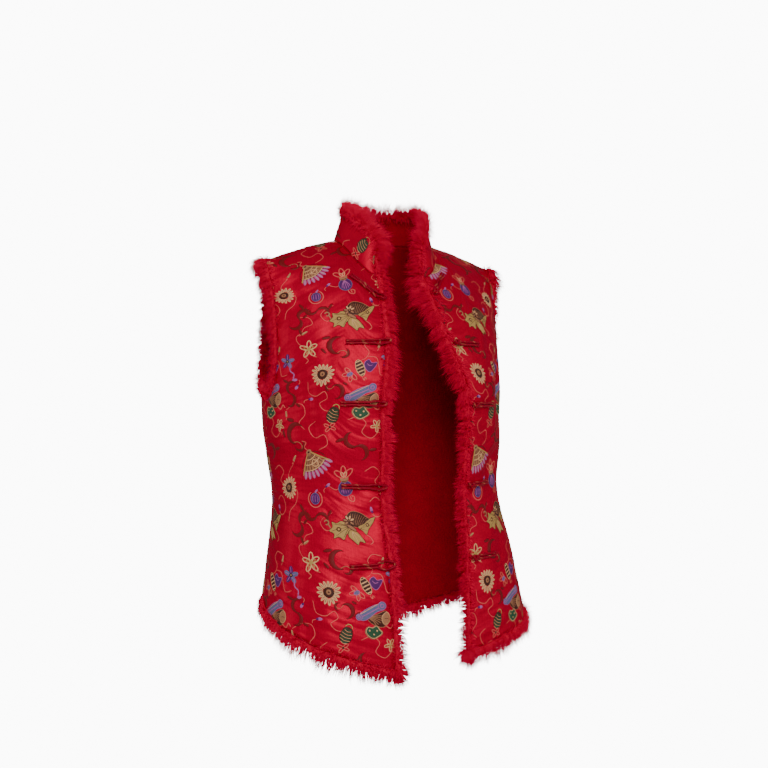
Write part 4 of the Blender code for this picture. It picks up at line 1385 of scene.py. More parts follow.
def tassel():
    figure = Sketch()
    figure.patch(bent([(-5, -1.6), (0, -1.9), (5, -1.0), (6, 0), (5, 1.0), (0, 1.9), (-5, 1.6)]), "tan")
    figure.line([(-4, 0), (0, 0.3), (5, 0)], "cream", 0.8, 1)
    figure.line([(-6, 0), (-8.5, 0), (-10, 1)], "peach", 1.2)
    return figure


FIGURES = {
    "daisy": daisy(), "berry": berry(), "bow": bow(), "purse": purse(),
    "butterfly": butterfly(), "fan": fan(), "lotus": lotus(), "scroll": scroll(),
    "bud": bud(), "tied_flower": tied_flower(), "cloud": cloud(), "drift": drift(),
    "small_bud": small_bud(), "tassel": tassel(),
}
print("figures:", len(FIGURES))

# %% [markdown]
# ## Woven motifs: the repeat
#
# The pattern repeats every 142 mm across the cloth and every 287 mm down it. One table holds
# the figures of one repeat, each with its place, turn and size, and another the points of the
# winding cords. The places are measured from the front edge of the right front at the
# shoulder, with x to the viewer's right.

# %% One repeat of the pattern
REPEAT = (142.0, 287.0)
LAYOUT = (
    # figure, x, down, turn, size
    ("fan", -92, 66, -152, 1.12),
    ("purse", -48, 92, 8, 1.20),
    ("berry", -88, 114, 0, 1.15),
    ("small_bud", -70, 96, 10, 1.0),
    ("butterfly", -46, 152, 0, 1.02),
    ("cloud", -66, 196, -14, 1.05),
    ("bow", -103, 198, 10, 1.2),
    ("tied_flower", -136, 216, 16, 1.15),
    ("daisy", -82, 236, 0, 1.12),
    ("lotus", -33, 229, -14, 1.15),
    ("scroll", -28, 264, -4, 0.98),
    ("bud", -64, 292, -24, 1.0),
    ("daisy", -131, 101, 30, 1.05),
    ("drift", -34, 44, 150, 1.10),
    ("cloud", -120, 30, -35, 1.15),
    ("drift", -112, 148, 70, 1.05),
    ("cloud", -60, 258, 188, 0.80),
    ("drift", -88, 138, 5, 0.90),
    ("drift", -128, 262, 110, 0.95),
    ("small_bud", -120, 254, 200, 1.0),
    ("small_bud", -14, 128, 75, 1.1),
    ("small_bud", -96, 270, -30, 1.1),
    ("tassel", -108, 172, 28, 0.9),
    ("tassel", -122, 62, 62, 0.9),
    ("tassel", -8, 196, 74, 0.9),
    ("tassel", -136, 290, 100, 0.8),
    ("bow", -6, 18, 40, 0.75),
)
CORDS = (
    # points of each cord, x and down
    ((-124, 68), (-134, 84), (-130, 98), (-116, 104), (-118, 120), (-130, 132), (-134, 146)),
    (
        (-113, 145), (-100, 148), (-96, 158), (-108, 164), (-112, 171), (-120, 178),
        (-116, 190), (-104, 194),
    ),
    ((-70, 97), (-58, 102), (-52, 96), (-44, 98)),
    ((-8, 190), (-22, 188), (-28, 196), (-22, 206), (-26, 214), (-34, 218)),
    ((-24, 212), (-12, 214), (-8, 226), (-4, 238), (6, 236)),
    (
        (-104, 246), (-100, 262), (-88, 266), (-76, 260), (-72, 268), (-82, 276),
        (-76, 284), (-64, 286),
    ),
    ((-136, 284), (-120, 276), (-108, 278), (-104, 290), (-112, 302), (-104, 310)),
    ((-44, 10), (-30, 6), (-20, 14), (-26, 26), (-14, 34), (-4, 26)),
    ((-66, 132), (-76, 136), (-84, 146), (-76, 156), (-68, 152)),
    ((-16, 118), (-8, 112), (0, 118), (2, 130), (-8, 138), (-14, 134)),
    ((-88, 12), (-98, 20), (-90, 34), (-76, 30), (-72, 42), (-84, 50)),
    ((-22, 78), (-10, 72), (-2, 80), (-8, 92), (2, 98)),
)
CORD_WIDTH = 1.15


def cord_sketch():
    figure = Sketch()
    for points in CORDS:
        figure.line(np.array(points, float) * (1, -1), "peach", CORD_WIDTH, 0, step=2.2)
    return figure


FIGURES["cords"] = cord_sketch()
placed = [*LAYOUT, ("cords", 0, 0, 0, 1.0)]
count = sum(len(part[2]) for name, *_ in placed for part in FIGURES[name].parts)
print("figures in a repeat:", len(placed), "triangles:", count)

# %% [markdown]
# ## Woven motifs: laying the cloth on the vest
#
# A tailor cuts each panel from flat cloth, so the pattern runs straight down the centre front
# and bends with the cloth elsewhere. For each panel a map is made from the lengths on the
# smooth surface: how far round from the panel's main line, and how far down it. The figures
# that cross a cut edge stop at it.

# %% Maps between flat cloth and panels
MAP_LEVELS = np.linspace(0.0, 2.75, 200)
MAP_STEPS = 150
FRONT_TURN_LIMIT = 124.0
BACK_TURN_LIMIT = 52.0
METRE = 1000.0


class FlatCloth:
    """Flat lengths in millimetres round and down from a panel's main line."""

    def __init__(self, side, behind):
        level = MAP_LEVELS[:, None]
        if behind:
            main = np.full(len(MAP_LEVELS), 180.0)
            self.angle = np.linspace(180.0, BACK_TURN_LIMIT, MAP_STEPS)
        else:
            main = front_edge_angle(side, MAP_LEVELS)
            self.angle = np.linspace(0.0, FRONT_TURN_LIMIT, MAP_STEPS)
        run = spans(smooth_body(self.angle[None], level), 1) * METRE
        order = np.argsort(self.angle)
        zero = [np.interp(main[k], self.angle[order], run[k][order]) for k in range(len(run))]
        self.round = run - np.array(zero)[:, None]
        line = smooth_body(main, MAP_LEVELS)
        steps = np.linalg.norm(np.diff(line, axis=0), axis=1) * METRE
        self.down = np.concatenate([[0], np.cumsum(steps)])

    def rows(self, position):
        low = np.clip(position.astype(int), 0, len(MAP_LEVELS) - 2)
        share = (position - low)[:, None]
        return self.round[low] * (1 - share) + self.round[low + 1] * share

    def place(self, flat_round, flat_down):
        """The angle and level of points given on the flat cloth."""
        position = np.interp(flat_down, self.down, np.arange(len(self.down)))
        rows = self.rows(position)
        after = np.clip((rows < flat_round[:, None]).sum(1), 1, MAP_STEPS - 1)
        pick = np.arange(len(rows))
        start, end = rows[pick, after - 1], rows[pick, after]
        share = np.clip((flat_round - start) / np.maximum(end - start, 1e-6), 0, 1)
        angle = self.angle[after - 1] * (1 - share) + self.angle[after] * share
        return angle, np.interp(position, np.arange(len(MAP_LEVELS)), MAP_LEVELS)

    def flat(self, angle, level):
        """Where a place of the panel lies on the flat cloth."""
        position = np.interp(level, MAP_LEVELS, np.arange(len(MAP_LEVELS)))
        rows = self.rows(position)
        order = np.argsort(self.angle)
        found = [np.interp(a, self.angle[order], row[order]) for a, row in zip(angle, rows)]
        return np.stack([found, np.interp(position, np.arange(len(self.down)), self.down)], -1)


def border(places, whole=True):
    """The places round a grid, or round all but its first edge."""
    rest = [places[:, 0], places[-1, 1:], places[-2::-1, -1]]
    return np.concatenate(rest + ([places[0, -2:0:-1]] if whole else []))


front_maps = {side: FlatCloth(side, False) for side in (-1, 1)}
back_map = FlatCloth(1, True)
outlines = {}
for side, name in ((-1, "front_right"), (1, "front_left")):
    edge = border(front_places(side))
    outlines[name] = front_maps[side].flat(edge[:, 0], edge[:, 1]) * (side, 1)
edge = border(back_half_places(), False)
half = back_map.flat(edge[:, 0], edge[:, 1])
outlines["back"] = np.concatenate([half, half[::-1] * (-1, 1)])
print({name: np.ptp(line, axis=0).round().tolist() for name, line in outlines.items()})

# %% Lay the figures on each panel
PATTERN_SHIFT = {
    # panel: how far the flat cloth's pattern is shifted, x and down
    "front_right": (0.0, 0.0),
    "front_left": (27.0, 0.0),
    "back": (-9.0, 6.0),
    "collar": (-26.0, -15.0),
}
EDGE_KEEP = 0.8
FARTHEST = 36.0
CORDS_FARTHEST = 200
SEARCH_ACROSS = (200, 300)
SEARCH_DOWN = (400, 100)
COLLAR_OUTLINE_POINTS = 40


def figures_over(outline, shift):
    """All figures near an outline, as points, heights, triangles and threads."""
    low, high = outline.min(0), outline.max(0)
    columns, rows = (
        range(int((low[k] - before) // REPEAT[k]), int((high[k] + after) // REPEAT[k]) + 1)
        for k, (before, after) in enumerate((SEARCH_ACROSS, SEARCH_DOWN))
    )
    points, heights, triangles, kinds, start = [], [], [], [], 0
    for name, x, down, turn, size in placed:
        reach = CORDS_FARTHEST if name == "cords" else FARTHEST
        tilt = math.radians(turn)
        spin = np.array([[math.cos(tilt), math.sin(tilt)], [-math.sin(tilt), math.cos(tilt)]])
        for column in columns:
            for row in rows:
                centre = np.array([x + column * REPEAT[0], down + row * REPEAT[1]]) - shift
                if (centre < low - reach).any() or (centre > high + 2 * reach).any():
                    continue
                for flat, height, faces, thread in FIGURES[name].parts:
                    laid = flat @ spin * size
                    points.append(centre + laid * (1, -1))
                    heights.append(height)
                    triangles.append(faces + start)
                    kinds.append(np.full(len(faces), thread))
                    start += len(flat)
    return [np.concatenate(group) for group in (points, heights, triangles, kinds)]


def cut_to(outline, points, heights, triangles, kinds):
    """Leaves out what lies beyond the outline and draws what crosses it back to it."""
    inside = is_inside(points, outline)
    kept = inside[triangles].any(1)
    triangles, kinds = triangles[kept], kinds[kept]
    used, renamed = np.unique(triangles, return_inverse=True)
    points, heights, inside = points[used], heights[used], inside[used]
    outer = np.flatnonzero(~inside)
    ends = np.roll(outline, -1, axis=0)
    way = ends - outline
    share = ((points[outer, None] - outline) * way).sum(-1) / np.maximum((way**2).sum(-1), 1e-9)
    nearest = outline + way * np.clip(share, 0, 1)[..., None]
    closest = np.linalg.norm(points[outer, None] - nearest, axis=-1).argmin(1)
    points[outer] = nearest[np.arange(len(outer)), closest]
    return points, heights, renamed.reshape(-1, 3), kinds


def on_front(side, points, heights):
    angle, level = front_maps[side].place(points[:, 0] * side, points[:, 1])
    return cloth(side, angle, level, heights / METRE)


def on_back(points, heights):
    angle, level = back_map.place(np.abs(points[:, 0]), points[:, 1])
    laid = np.empty((len(points), 3))
    for side in (-1, 1):
        part = (points[:, 0] > 0) if side < 0 else (points[:, 0] <= 0)
        laid[part] = cloth(side, angle[part], level[part], heights[part] / METRE)
    return laid


def on_collar(points, heights):
    """The collar has no level, so its own grid is read: round it from the right end, and up it."""
    outer, inner = collar
    middle = spans(outer, 0)[:, 0] * METRE
    rise = spans(outer, 1)[len(outer) // 2] * METRE
    across = np.interp(-points[:, 0], middle, np.arange(len(middle)))
    up = np.interp(rise[-1] - points[:, 1], rise, np.arange(len(rise)))
    i = np.clip(across.astype(int), 0, len(middle) - 2)
    j = np.clip(up.astype(int), 0, len(rise) - 2)
    s, t = (across - i)[:, None], (up - j)[:, None]
    found = []
    for grid in (outer, inner):
        low = grid[i, j] * (1 - s) + grid[i + 1, j] * s
        high = grid[i, j + 1] * (1 - s) + grid[i + 1, j + 1] * s
        found.append(low * (1 - t) + high * t)
    return found[0] + unit(found[0] - found[1]) * (heights / METRE)[:, None]


collar_run = spans(collar[0], 0)[-1, 0] * METRE
collar_rise = spans(collar[0], 1)[len(collar[0]) // 2, -1] * METRE
count = COLLAR_OUTLINE_POINTS
sides = [np.linspace(a, b, count, endpoint=False) for a, b in ((0, -collar_run), (-collar_run, 0))]
outlines["collar"] = np.concatenate(
    [
        np.stack([sides[0], np.zeros(count)], -1),
        np.stack([sides[1], np.full(count, collar_rise)], -1),
    ]
)
for name, outline in outlines.items():
    middle = outline.mean(0)
    kept = 1 - EDGE_KEEP / np.linalg.norm(outline - middle, axis=1)
    cut_line = middle + (outline - middle) * kept[:, None]
    sketch = figures_over(cut_line, np.array(PATTERN_SHIFT[name]))
    points, heights, triangles, kinds = cut_to(cut_line, *sketch)
    if name == "back":
        laid = on_back(points, heights)
    elif name == "collar":
        laid = on_collar(points, heights)
    else:
        laid = on_front(-1 if name == "front_right" else 1, points, heights)
    grain = np.concatenate([points / METRE, 0 * points[:, :1]], 1)
    figures = made(f"brocade_{name}", laid, triangles[:, ::-1], threads, kinds, grain=grain)
    print(name, "triangles in figures:", len(triangles))

# %% [markdown]
# ## Fur strips: where they are sewn
#
# Strips of fur bind every edge: down both fronts and along the hem to the vents, along the back
# hem, round each armhole and round the top of the collar. A strip follows the cloth's edge, so
# the first thing to find is that line, the way out from the cloth, and how far the fur reaches.

# %% Lines that the fur follows
FRONT_REACHES = (
    # level, right, left
    (0.36, 0.019, 0.027),
    (0.60, 0.018, 0.025),
    (0.90, 0.016, 0.019),
    (1.25, 0.015, 0.015),
    (2.80, 0.015, 0.015),
)
HEM_REACH = 0.019
ARMHOLE_REACH = 0.012
TIP_EXTRA_REACH = 0.004
TIP_SPREAD = 0.045
COLLAR_REACH = 0.013
COLLAR_FUR_START = 0.002
FUR_THICK = 0.010
VENT_SHARE = 0.62
CORNER_TURNS = 9


def away_from(edge, beside, above):
    """The direction in the cloth's plane from the grid line beside the edge to the edge."""
    out = unit(np.cross(unit(np.gradient(edge, axis=0)), above))
    return out * np.sign((out * (edge - beside)).sum())


def vent_room(side, line):
    """How far fur may reach from each point before it crosses the line below the side seam."""
    levels = np.linspace(VENT_LEVEL, VENT_LEVEL + 0.35, 36)
    middle = cloth(side, np.full(36, side_seam_angle(VENT_LEVEL)), levels)
    return np.linalg.norm(line[:, None] - middle[None], axis=-1).min(1) * VENT_SHARE


def front_fur_line(side):
    """From the neck down the front edge, round the corner and along the hem to the vent."""
    outer, inner = fronts[side]
    middle, above = (outer + inner) / 2, unit(outer - inner)
    down = away_from(outer[0], outer[1], above[0])
    hem = away_from(outer[:, -1], outer[:, -2], above[:, -1])
    turn = np.linspace(0, 1, CORNER_TURNS)[:, None]
    corner = unit(down[-1] * (1 - turn) + hem[0] * turn)
    line, up = (
        np.concatenate([a[0, :-1], np.repeat(a[:1, -1], CORNER_TURNS, 0), a[1:-1, -1]])
        for a in (middle, above)
    )
    levels = front_places(side)[0, :, 1]
    upright = table_at(levels, FRONT_REACHES)[:, 0 if side < 0 else 1]
    reach = np.concatenate(
        [
            upright[:-1],
            np.linspace(upright[-1], HEM_REACH, CORNER_TURNS),
            np.full(len(hem) - 2, HEM_REACH),
        ]
    )
    out = unit(np.concatenate([down[:-1], corner, hem[1:-1]]))
    return line, out, up, np.minimum(reach, vent_room(side, line))


def back_fur_line():
    """Along the back hem from the right vent to the left one."""
    outer, inner = back
    above = unit(outer - inner)
    out = away_from(outer[:, -1], outer[:, -2], above[:, -1])[1:-1]
    line = ((outer + inner) / 2)[1:-1, -1]
    room = np.minimum(vent_room(-1, line), vent_room(1, line))
    return line, out, above[1:-1, -1], np.minimum(HEM_REACH, room)


def armhole_fur_line(side):
    """All round an armhole: up the front from the underarm, over the tip and down the back."""
    front_rows = round(FRONT_CELLS[1] * UNDERARM_SHARE) + 1
    back_rows = round(BACK_CELLS[1] * UNDERARM_SHARE) + 1
    loops = []
    for face in (0, 1):
        up_front = fronts[side][face][-1, :front_rows][::-1]
        down_back = back[face][0 if side < 0 else -1, :back_rows]
        tip = (up_front[-1] + down_back[0]) / 2
        underarm = (up_front[0] + down_back[-1]) / 2
        loops.append(np.concatenate([[underarm], up_front[1:-1], [tip], down_back[1:-1]]))
    outer, inner = loops
    above = unit(outer - inner)
    along = unit(np.roll(outer, -1, axis=0) - np.roll(outer, 1, axis=0))
    out = unit(np.cross(along, above))
    out *= np.sign(((outer.mean(0) - outer) * out).sum())
    from_tip = np.linalg.norm(outer - outer[front_rows - 1], axis=-1)
    reach = ARMHOLE_REACH + TIP_EXTRA_REACH * np.exp(-((from_tip / TIP_SPREAD) ** 2))
    return (outer + inner) / 2, out, above, reach


def collar_fur_line():
    """Up the collar's right front end, round its top edge and down the left end."""
    lines = []
    for grid in collar:
        top = grid[1:-1, -1]
        lines.append(np.concatenate([grid[0], top, grid[-1][::-1]]))
    middle, above = (lines[0] + lines[1]) / 2, unit(lines[0] - lines[1])
    out = unit(np.cross(unit(np.gradient(middle, axis=0)), above))
    out *= np.sign(out[len(out) // 2, 2])
    run = np.concatenate([[0], np.cumsum(np.linalg.norm(np.diff(middle, axis=0), axis=1))])
    kept = (run > COLLAR_FUR_START) & (run < run[-1] - COLLAR_FUR_START)
    return middle[kept], out[kept], above[kept], np.full(kept.sum(), COLLAR_REACH)


fur_lines = {
    # name: its line, whether it is a loop, hair length over reach
    "fur_edge_right": (front_fur_line(-1), False, 1.05),
    "fur_edge_left": (front_fur_line(1), False, 1.05),
    "fur_hem_back": (back_fur_line(), False, 0.85),
    "fur_armhole_right": (armhole_fur_line(-1), True, 1.25),
    "fur_armhole_left": (armhole_fur_line(1), True, 1.25),
    "fur_collar": (collar_fur_line(), False, 1.55),
}
print("fur strips:", len(fur_lines))

# %% [markdown]
# ## Fur: bed and hairs
#
# Real hair grows from a skin, in locks that lean together at their tips. Blender has a hair
# system, but its hairs are not a mesh that other programs can read. So each strip has a lumpy
# bed, a tube with soft dents, and thousands of tapered three-sided hairs that stand on it. A
# hair leans out from the seam and down, as if combed, droops at its tip, and leans with the
# other hairs of its lock.

# %% Beds and hairs
HAIRS_PER_METRE = 15500
HAIR_ROOT = 0.00032
HAIR_TIP_SHARE = 0.70
LOCKS_PER_METRE = 380
BED_SIDES = 12
BED_OUT_SHARE = 0.22
BED_THICK_SHARE = 0.34
DROOP = 0.42
COMBED_DOWN = 0.22
LOCK_LEAN = 0.22
TUFTS = 0.24
TUFT_PACES = (58.0, 103.0, 31.0)
SWELL_PACES = (310.0, 520.0, 170.0)
SWELL_SEED = 7
WAY_ROUND = 165.0
BED_RING_STEP = 0.004
LOCK_LENGTHS = (0.86, 1.14)
HAIR_LENGTHS = (0.45, 1.15)
HAIR_LIFT = 0.50
HAIR_OUTWARD = 0.95
HAIR_STRAY = 0.13
HAIR_CURL = 0.14
# Places on the root-to-tip colour: the bed and hair roots sit low, so they are painted in shade.
BED_PAINTED_SHADE = 0.22
HAIR_PAINTED_SHADES = (0.25, 0.72, 1.0)
ROOT_DEPTH = 0.0006
CORNER_ROOM = 0.040


class Strip:
    """A line along a cloth edge that can be read at any length along it."""

    def __init__(self, line, joined):
        points, out, above, reach = line
        if joined:
            points, out, above = (np.concatenate([a, a[:1]]) for a in (points, out, above))
            reach = np.concatenate([reach, reach[:1]])
        turns = CORNER_ROOM * np.arccos(np.clip((out[1:] * out[:-1]).sum(-1), -1, 1))
        steps = np.linalg.norm(np.diff(points, axis=0), axis=1) + turns
        self.run = np.concatenate([[0], np.cumsum(steps)])
        self.columns = np.concatenate([points, out, above, reach[:, None]], 1)
        self.length = self.run[-1]
        self.joined = joined

    def at(self, where):
        row = np.stack([np.interp(where, self.run, c) for c in self.columns.T], -1)
        return row[:, :3], unit(row[:, 3:6]), unit(row[:, 6:9]), row[:, 9]


def waves(where, chance, paces):
    """A smooth uneven number near zero along a line."""
    total = 0
    for pace in paces:
        total = total + np.sin(where * pace + chance.uniform(0, 2 * math.pi))
    return total / len(paces)


def bed_point(strip, where, turn, swell):
    """A point of the bed and its outward direction: turn 0 points away from the cloth."""
    place, out, above, reach = strip.at(where)
    half_out = reach * BED_OUT_SHARE * (1 + 0.25 * swell)
    half_up = FUR_THICK * BED_THICK_SHARE * np.clip(reach / 0.010, 0.35, 1) * (1 + 0.2 * swell)
    ahead, aside = np.cos(turn)[:, None], np.sin(turn)[:, None]
    middle = place + out * half_out[:, None]
    point = middle + out * ahead * half_out[:, None] + above * aside * half_up[:, None]
    return point, unit(out * ahead + above * aside), out, above, reach


def fur_bed(strip):
    rings = max(24, round(strip.length / BED_RING_STEP))
    where = np.linspace(0, strip.length, rings, endpoint=not strip.joined)
    swell = waves(where, np.random.default_rng(SWELL_SEED), SWELL_PACES)
    turns = np.linspace(0, 2 * math.pi, BED_SIDES, endpoint=False)
    grid = np.stack(
        [bed_point(strip, where, np.full(rings, turn), swell)[0] for turn in turns], 1
    )
    index = np.arange(rings * BED_SIDES).reshape(rings, BED_SIDES)
    after = np.roll(index, -1, axis=0) if strip.joined else index[1:]
    here = index if strip.joined else index[:-1]
    beside, beyond = np.roll(here, -1, axis=1), np.roll(after, -1, axis=1)
    faces = np.stack([here, beside, beyond, after], -1).reshape(-1, 4)
    return grid.reshape(-1, 3), faces


def fur_hairs(strip, hair_share, chance):
    count = round(strip.length * HAIRS_PER_METRE)
    where = chance.uniform(0, strip.length, count)
    turn = chance.uniform(-1.0, 1.0, count)
    turn = np.sign(turn) * np.abs(turn) ** 1.15 * math.radians(WAY_ROUND)
    root, normal, out, above, reach = bed_point(strip, where, turn, np.zeros(count))
    along = unit(np.cross(above, out))
    locks = max(8, round(strip.length * LOCKS_PER_METRE))
    lock_place = np.sort(chance.uniform(0, strip.length, locks))
    lock = np.clip(np.searchsorted(lock_place, where), 0, locks - 1)
    lock_lean = chance.normal(0, LOCK_LEAN, (locks, 2))[lock]
    lock_long = chance.uniform(*LOCK_LENGTHS, locks)[lock]
    ahead = np.cos(turn)
    lean = (
        normal * HAIR_LIFT
        + out * (HAIR_OUTWARD * np.clip(ahead + 0.75, 0, 1))[:, None]
        + along * (lock_lean[:, :1] + chance.normal(0, HAIR_STRAY, (count, 1)))
        + above * (lock_lean[:, 1:] * 0.5 + chance.normal(0, 0.10, (count, 1)))
        + np.array([0.0, 0.0, -COMBED_DOWN])
    )
    lean = unit(lean)
    size = np.maximum(reach, 0.004) * (0.62 + 0.38 * np.clip(ahead + 0.35, 0, 1))
    size = size * (1 + TUFTS * waves(where, chance, TUFT_PACES))
    length = hair_share * size * lock_long * chance.uniform(*HAIR_LENGTHS, count)
    drop = np.array([0.0, 0.0, -1.0]) * DROOP
    curl = chance.normal(0, HAIR_CURL, (count, 3)) + along * (lock_lean[:, :1] * 0.9)
    middle = root + lean * (length * 0.5)[:, None]
    tip = middle + unit(lean + drop + curl) * (length * 0.5)[:, None]
    root = root - lean * ROOT_DEPTH
    side_a = unit(np.cross(lean, along + 0.3 * above))
    side_b = np.cross(lean, side_a)
    corners = []
    for centre, radius in ((root, HAIR_ROOT), (middle, HAIR_ROOT * HAIR_TIP_SHARE)):
        for k in range(3):
            spin = 2 * math.pi * k / 3
            corners.append(centre + (side_a * math.cos(spin) + side_b * math.sin(spin)) * radius)
    corners.append(tip)
    points = np.stack(corners, 1)
    base = (np.arange(count) * 7)[:, None, None]
    pattern = [(k, (k + 1) % 3, 3 + (k + 1) % 3) for k in range(3)]
    pattern += [(k, 3 + (k + 1) % 3, 3 + k) for k in range(3)]
    pattern += [(3 + k, 3 + (k + 1) % 3, 6) for k in range(3)]
    faces = (base + np.array(pattern)[None]).reshape(-1, 3)
    # Each hair's root ring gets the most painted shade, its middle ring less, its tip none.
    shade = np.tile(np.repeat(HAIR_PAINTED_SHADES, (3, 3, 1)), count)
    return points.reshape(-1, 3), faces, shade


for seed, (name, (line, joined, hair_share)) in enumerate(fur_lines.items()):
    strip = Strip(line, joined)
    chance = np.random.default_rng(100 + seed)
    bed, quads = fur_bed(strip)
    hairs, triangles, shade = fur_hairs(strip, hair_share, chance)
    quads = np.concatenate([quads[:, [0, 1, 2]], quads[:, [0, 2, 3]]])
    points = np.concatenate([bed, hairs])
    faces = np.concatenate([quads, triangles + len(bed)])
    # The bed is painted in shade, darker than any hair.
    along = np.concatenate([np.full(len(bed), BED_PAINTED_SHADE), shade])
    piece = made(f"pelt_{name[4:]}", points, faces, [fur], along=along)
    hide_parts(name)
    print(name, "length", round(strip.length, 3), "m, triangles", len(faces))

# %% [markdown]
# ## Frogs
#
# A frog is a cord folded in two and sewn flat: a loop on the right front and a ball knot on the
# left, here unfastened. The cord's centre line is folded round its far end, laid beside the
# front edge, and lifted over the fur at its eye. The cord itself is a tube with three twisted
# ridges, and gold shows in places on one. The knot is a closed winding that goes round a ball
# three times while it swings up and down four times, as a tied ball knot does.

# %% Cords and knots
FROGS = (
    # right_level, left_level, right_rise, left_rise, eye_half
    (0.50, 0.48, 46.0, 50.0, 0.0012),
    (0.72, 0.72, 2.0, 0.0, 0.0012),
    (1.04, 1.05, 0.0, 0.0, 0.0012),
    (1.55, 1.56, 1.0, 4.0, 0.0012),
    (2.02, 2.01, -2.0, 3.0, 0.0036),
)
CORD_RADIUS = 0.0017
CORD_GAP = 0.0004
FROG_LENGTH = 0.056
EYE_START = 0.016
EYE_END = -0.005
FUR_CLIMB = 0.0050
CLIMB_START = 0.008
CLIMB_LENGTH = 0.010
KNOT_RADIUS = 0.0056
CORD_STEP = 0.0009
CORD_SIDES = 10
RIDGES = 3
TWISTS_PER_METRE = 150.0
RIDGE_DEPTH = 0.13
KNOT_ROUNDS = 3
KNOT_SWINGS = 4
KNOT_UPRIGHT = 0.82
KNOT_POINTS = 160
KNOT_CORD_SHARE = 0.86


def near_edge(side, level, across, up, raised):
    """Points of the cloth that far from its front edge and that far above the given level."""
    across, up = np.asarray(across, float), np.asarray(up, float)
    at = np.full(across.shape, level)
    edge = front_edge_angle(side, at)
    step = 1.0
    start = smooth_body(edge, at)
    per_degree = np.linalg.norm(smooth_body(edge + step, at) - start, axis=-1) / step
    per_level = np.linalg.norm(smooth_body(edge, at + 0.05) - start, axis=-1) / 0.05
    places = edge + across / per_degree, at - up / per_level
    shift = front_edge_angle(side, places[1]) - edge
    return cloth(side, places[0] + shift, places[1], raised)


def smoothstep(x):
    x = np.clip(x, 0, 1)
    return x * x * (3 - 2 * x)


def frog_path(side, level, rise, start, end, eye_half):
    """The folded cord's centre line: out along one run, round its end, and back."""
    run = np.linspace(FROG_LENGTH, start, 24)
    eye = np.linspace(start, end + 0.002, 19)[1:] if eye_half else np.array([])
    out = np.concatenate([run, eye])
    swell = np.clip((EYE_START - out) / (EYE_START - EYE_END), 0, 0.999)
    lane = CORD_RADIUS + CORD_GAP / 2 + eye_half * np.sin(math.pi * swell) ** 0.8
    turn = np.radians(np.linspace(75, -75, 9))
    across = np.concatenate([out, out[-1] - np.cos(turn) * lane[-1], out[::-1]])
    beside = np.concatenate([lane, np.sin(turn) * lane[-1], -lane[::-1]])
    tilt = math.radians(rise)
    along = across * math.cos(tilt) - beside * math.sin(tilt)
    up = across * math.sin(tilt) + beside * math.cos(tilt)
    climb = smoothstep((CLIMB_START - across) / CLIMB_LENGTH)
    raised = CORD_RADIUS + 2 * SEAM + FUR_CLIMB * climb
    return near_edge(side, level, along, up, raised)


def twisted_tube(path, radius, joined=False):
    """A tube with three ridges that wind round it, and how near each point is to a ridge."""
    count = len(path)
    if joined:
        along = unit(np.roll(path, -1, axis=0) - np.roll(path, 1, axis=0))
    else:
        along = unit(np.gradient(path, axis=0))
    side = np.zeros_like(path)
    side[0] = unit(np.cross(along[0], [0.3, 0.5, 0.8]))
    for k in range(1, count):
        side[k] = side[k - 1] - along[k] * (side[k - 1] @ along[k])
    side = unit(side)
    other = np.cross(along, side)
    run = np.arange(count) * np.linalg.norm(path[1] - path[0])
    turn = np.linspace(0, 2 * math.pi, CORD_SIDES, endpoint=False)[None]
    phase = RIDGES * turn - 2 * math.pi * TWISTS_PER_METRE * run[:, None]
    size = radius * (1 + RIDGE_DEPTH * (np.abs(np.cos(phase / 2)) - 0.6))
    around = side[:, None] * np.cos(turn)[..., None] + other[:, None] * np.sin(turn)[..., None]
    points = path[:, None] + around * size[..., None]
    gold = 0.5 + 0.5 * np.cos(turn - 2 * math.pi * TWISTS_PER_METRE / RIDGES * run[:, None])
    index = np.arange(count * CORD_SIDES).reshape(count, CORD_SIDES)
    here = index if joined else index[:-1]
    after = np.roll(index, -1, axis=0) if joined else index[1:]
    beside, beyond = np.roll(here, -1, axis=1), np.roll(after, -1, axis=1)
    faces = np.stack([here, beside, beyond, after], -1).reshape(-1, 4)
    points, gold = points.reshape(-1, 3), gold.ravel()
    if not joined:
        tips = np.array([path[0] - along[0] * radius * 0.4, path[-1] + along[-1] * radius * 0.4])
        points, gold = np.concatenate([points, tips]), np.concatenate([gold, [0.0, 0.0]])
        first, last = index[0], index[-1]
        cap_a = np.stack([np.full(CORD_SIDES, len(gold) - 2), np.roll(first, -1), first, first], -1)
        cap_b = np.stack([np.full(CORD_SIDES, len(gold) - 1), last, np.roll(last, -1), last], -1)
        return points, faces, np.concatenate([cap_a, cap_b])[:, :3], gold
    return points, faces, np.zeros((0, 3), int), gold


def joined_parts(parts):
    """Several tubes as one list of corners and one of triangles."""
    points, faces, gold, start = [], [], [], 0
    for part_points, quads, caps, shade in parts:
        halves = np.concatenate([quads[:, [0, 1, 2]], quads[:, [0, 2, 3]], caps])
        points.append(part_points)
        faces.append(halves + start)
        gold.append(shade)
        start += len(part_points)
    return np.concatenate(points), np.concatenate(faces), np.concatenate(gold)


def knot_tubes(side, level, rise):
    """A ball knot beside the front edge: a cord that winds round the inside of a ball."""
    tilt = math.radians(rise)
    across = KNOT_RADIUS + 2 * SEAM
    raised = KNOT_RADIUS + SEAM
    place = near_edge(side, level, across * math.cos(tilt), across * math.sin(tilt), raised)
    t = np.linspace(0, 2 * math.pi, KNOT_POINTS, endpoint=False)
    up = KNOT_UPRIGHT * np.sin(KNOT_SWINGS * t)
    out = KNOT_RADIUS - CORD_RADIUS * 1.05
    over = out * (1 + 0.16 * np.cos(2 * KNOT_SWINGS * t + 0.6))
    ring = np.sqrt(1 - up**2) * over
    ball = np.stack([ring * np.cos(KNOT_ROUNDS * t), ring * np.sin(KNOT_ROUNDS * t), up * over], -1)
    return twisted_tube(resampled(ball + place, CORD_STEP, True), CORD_RADIUS * KNOT_CORD_SHARE, True)


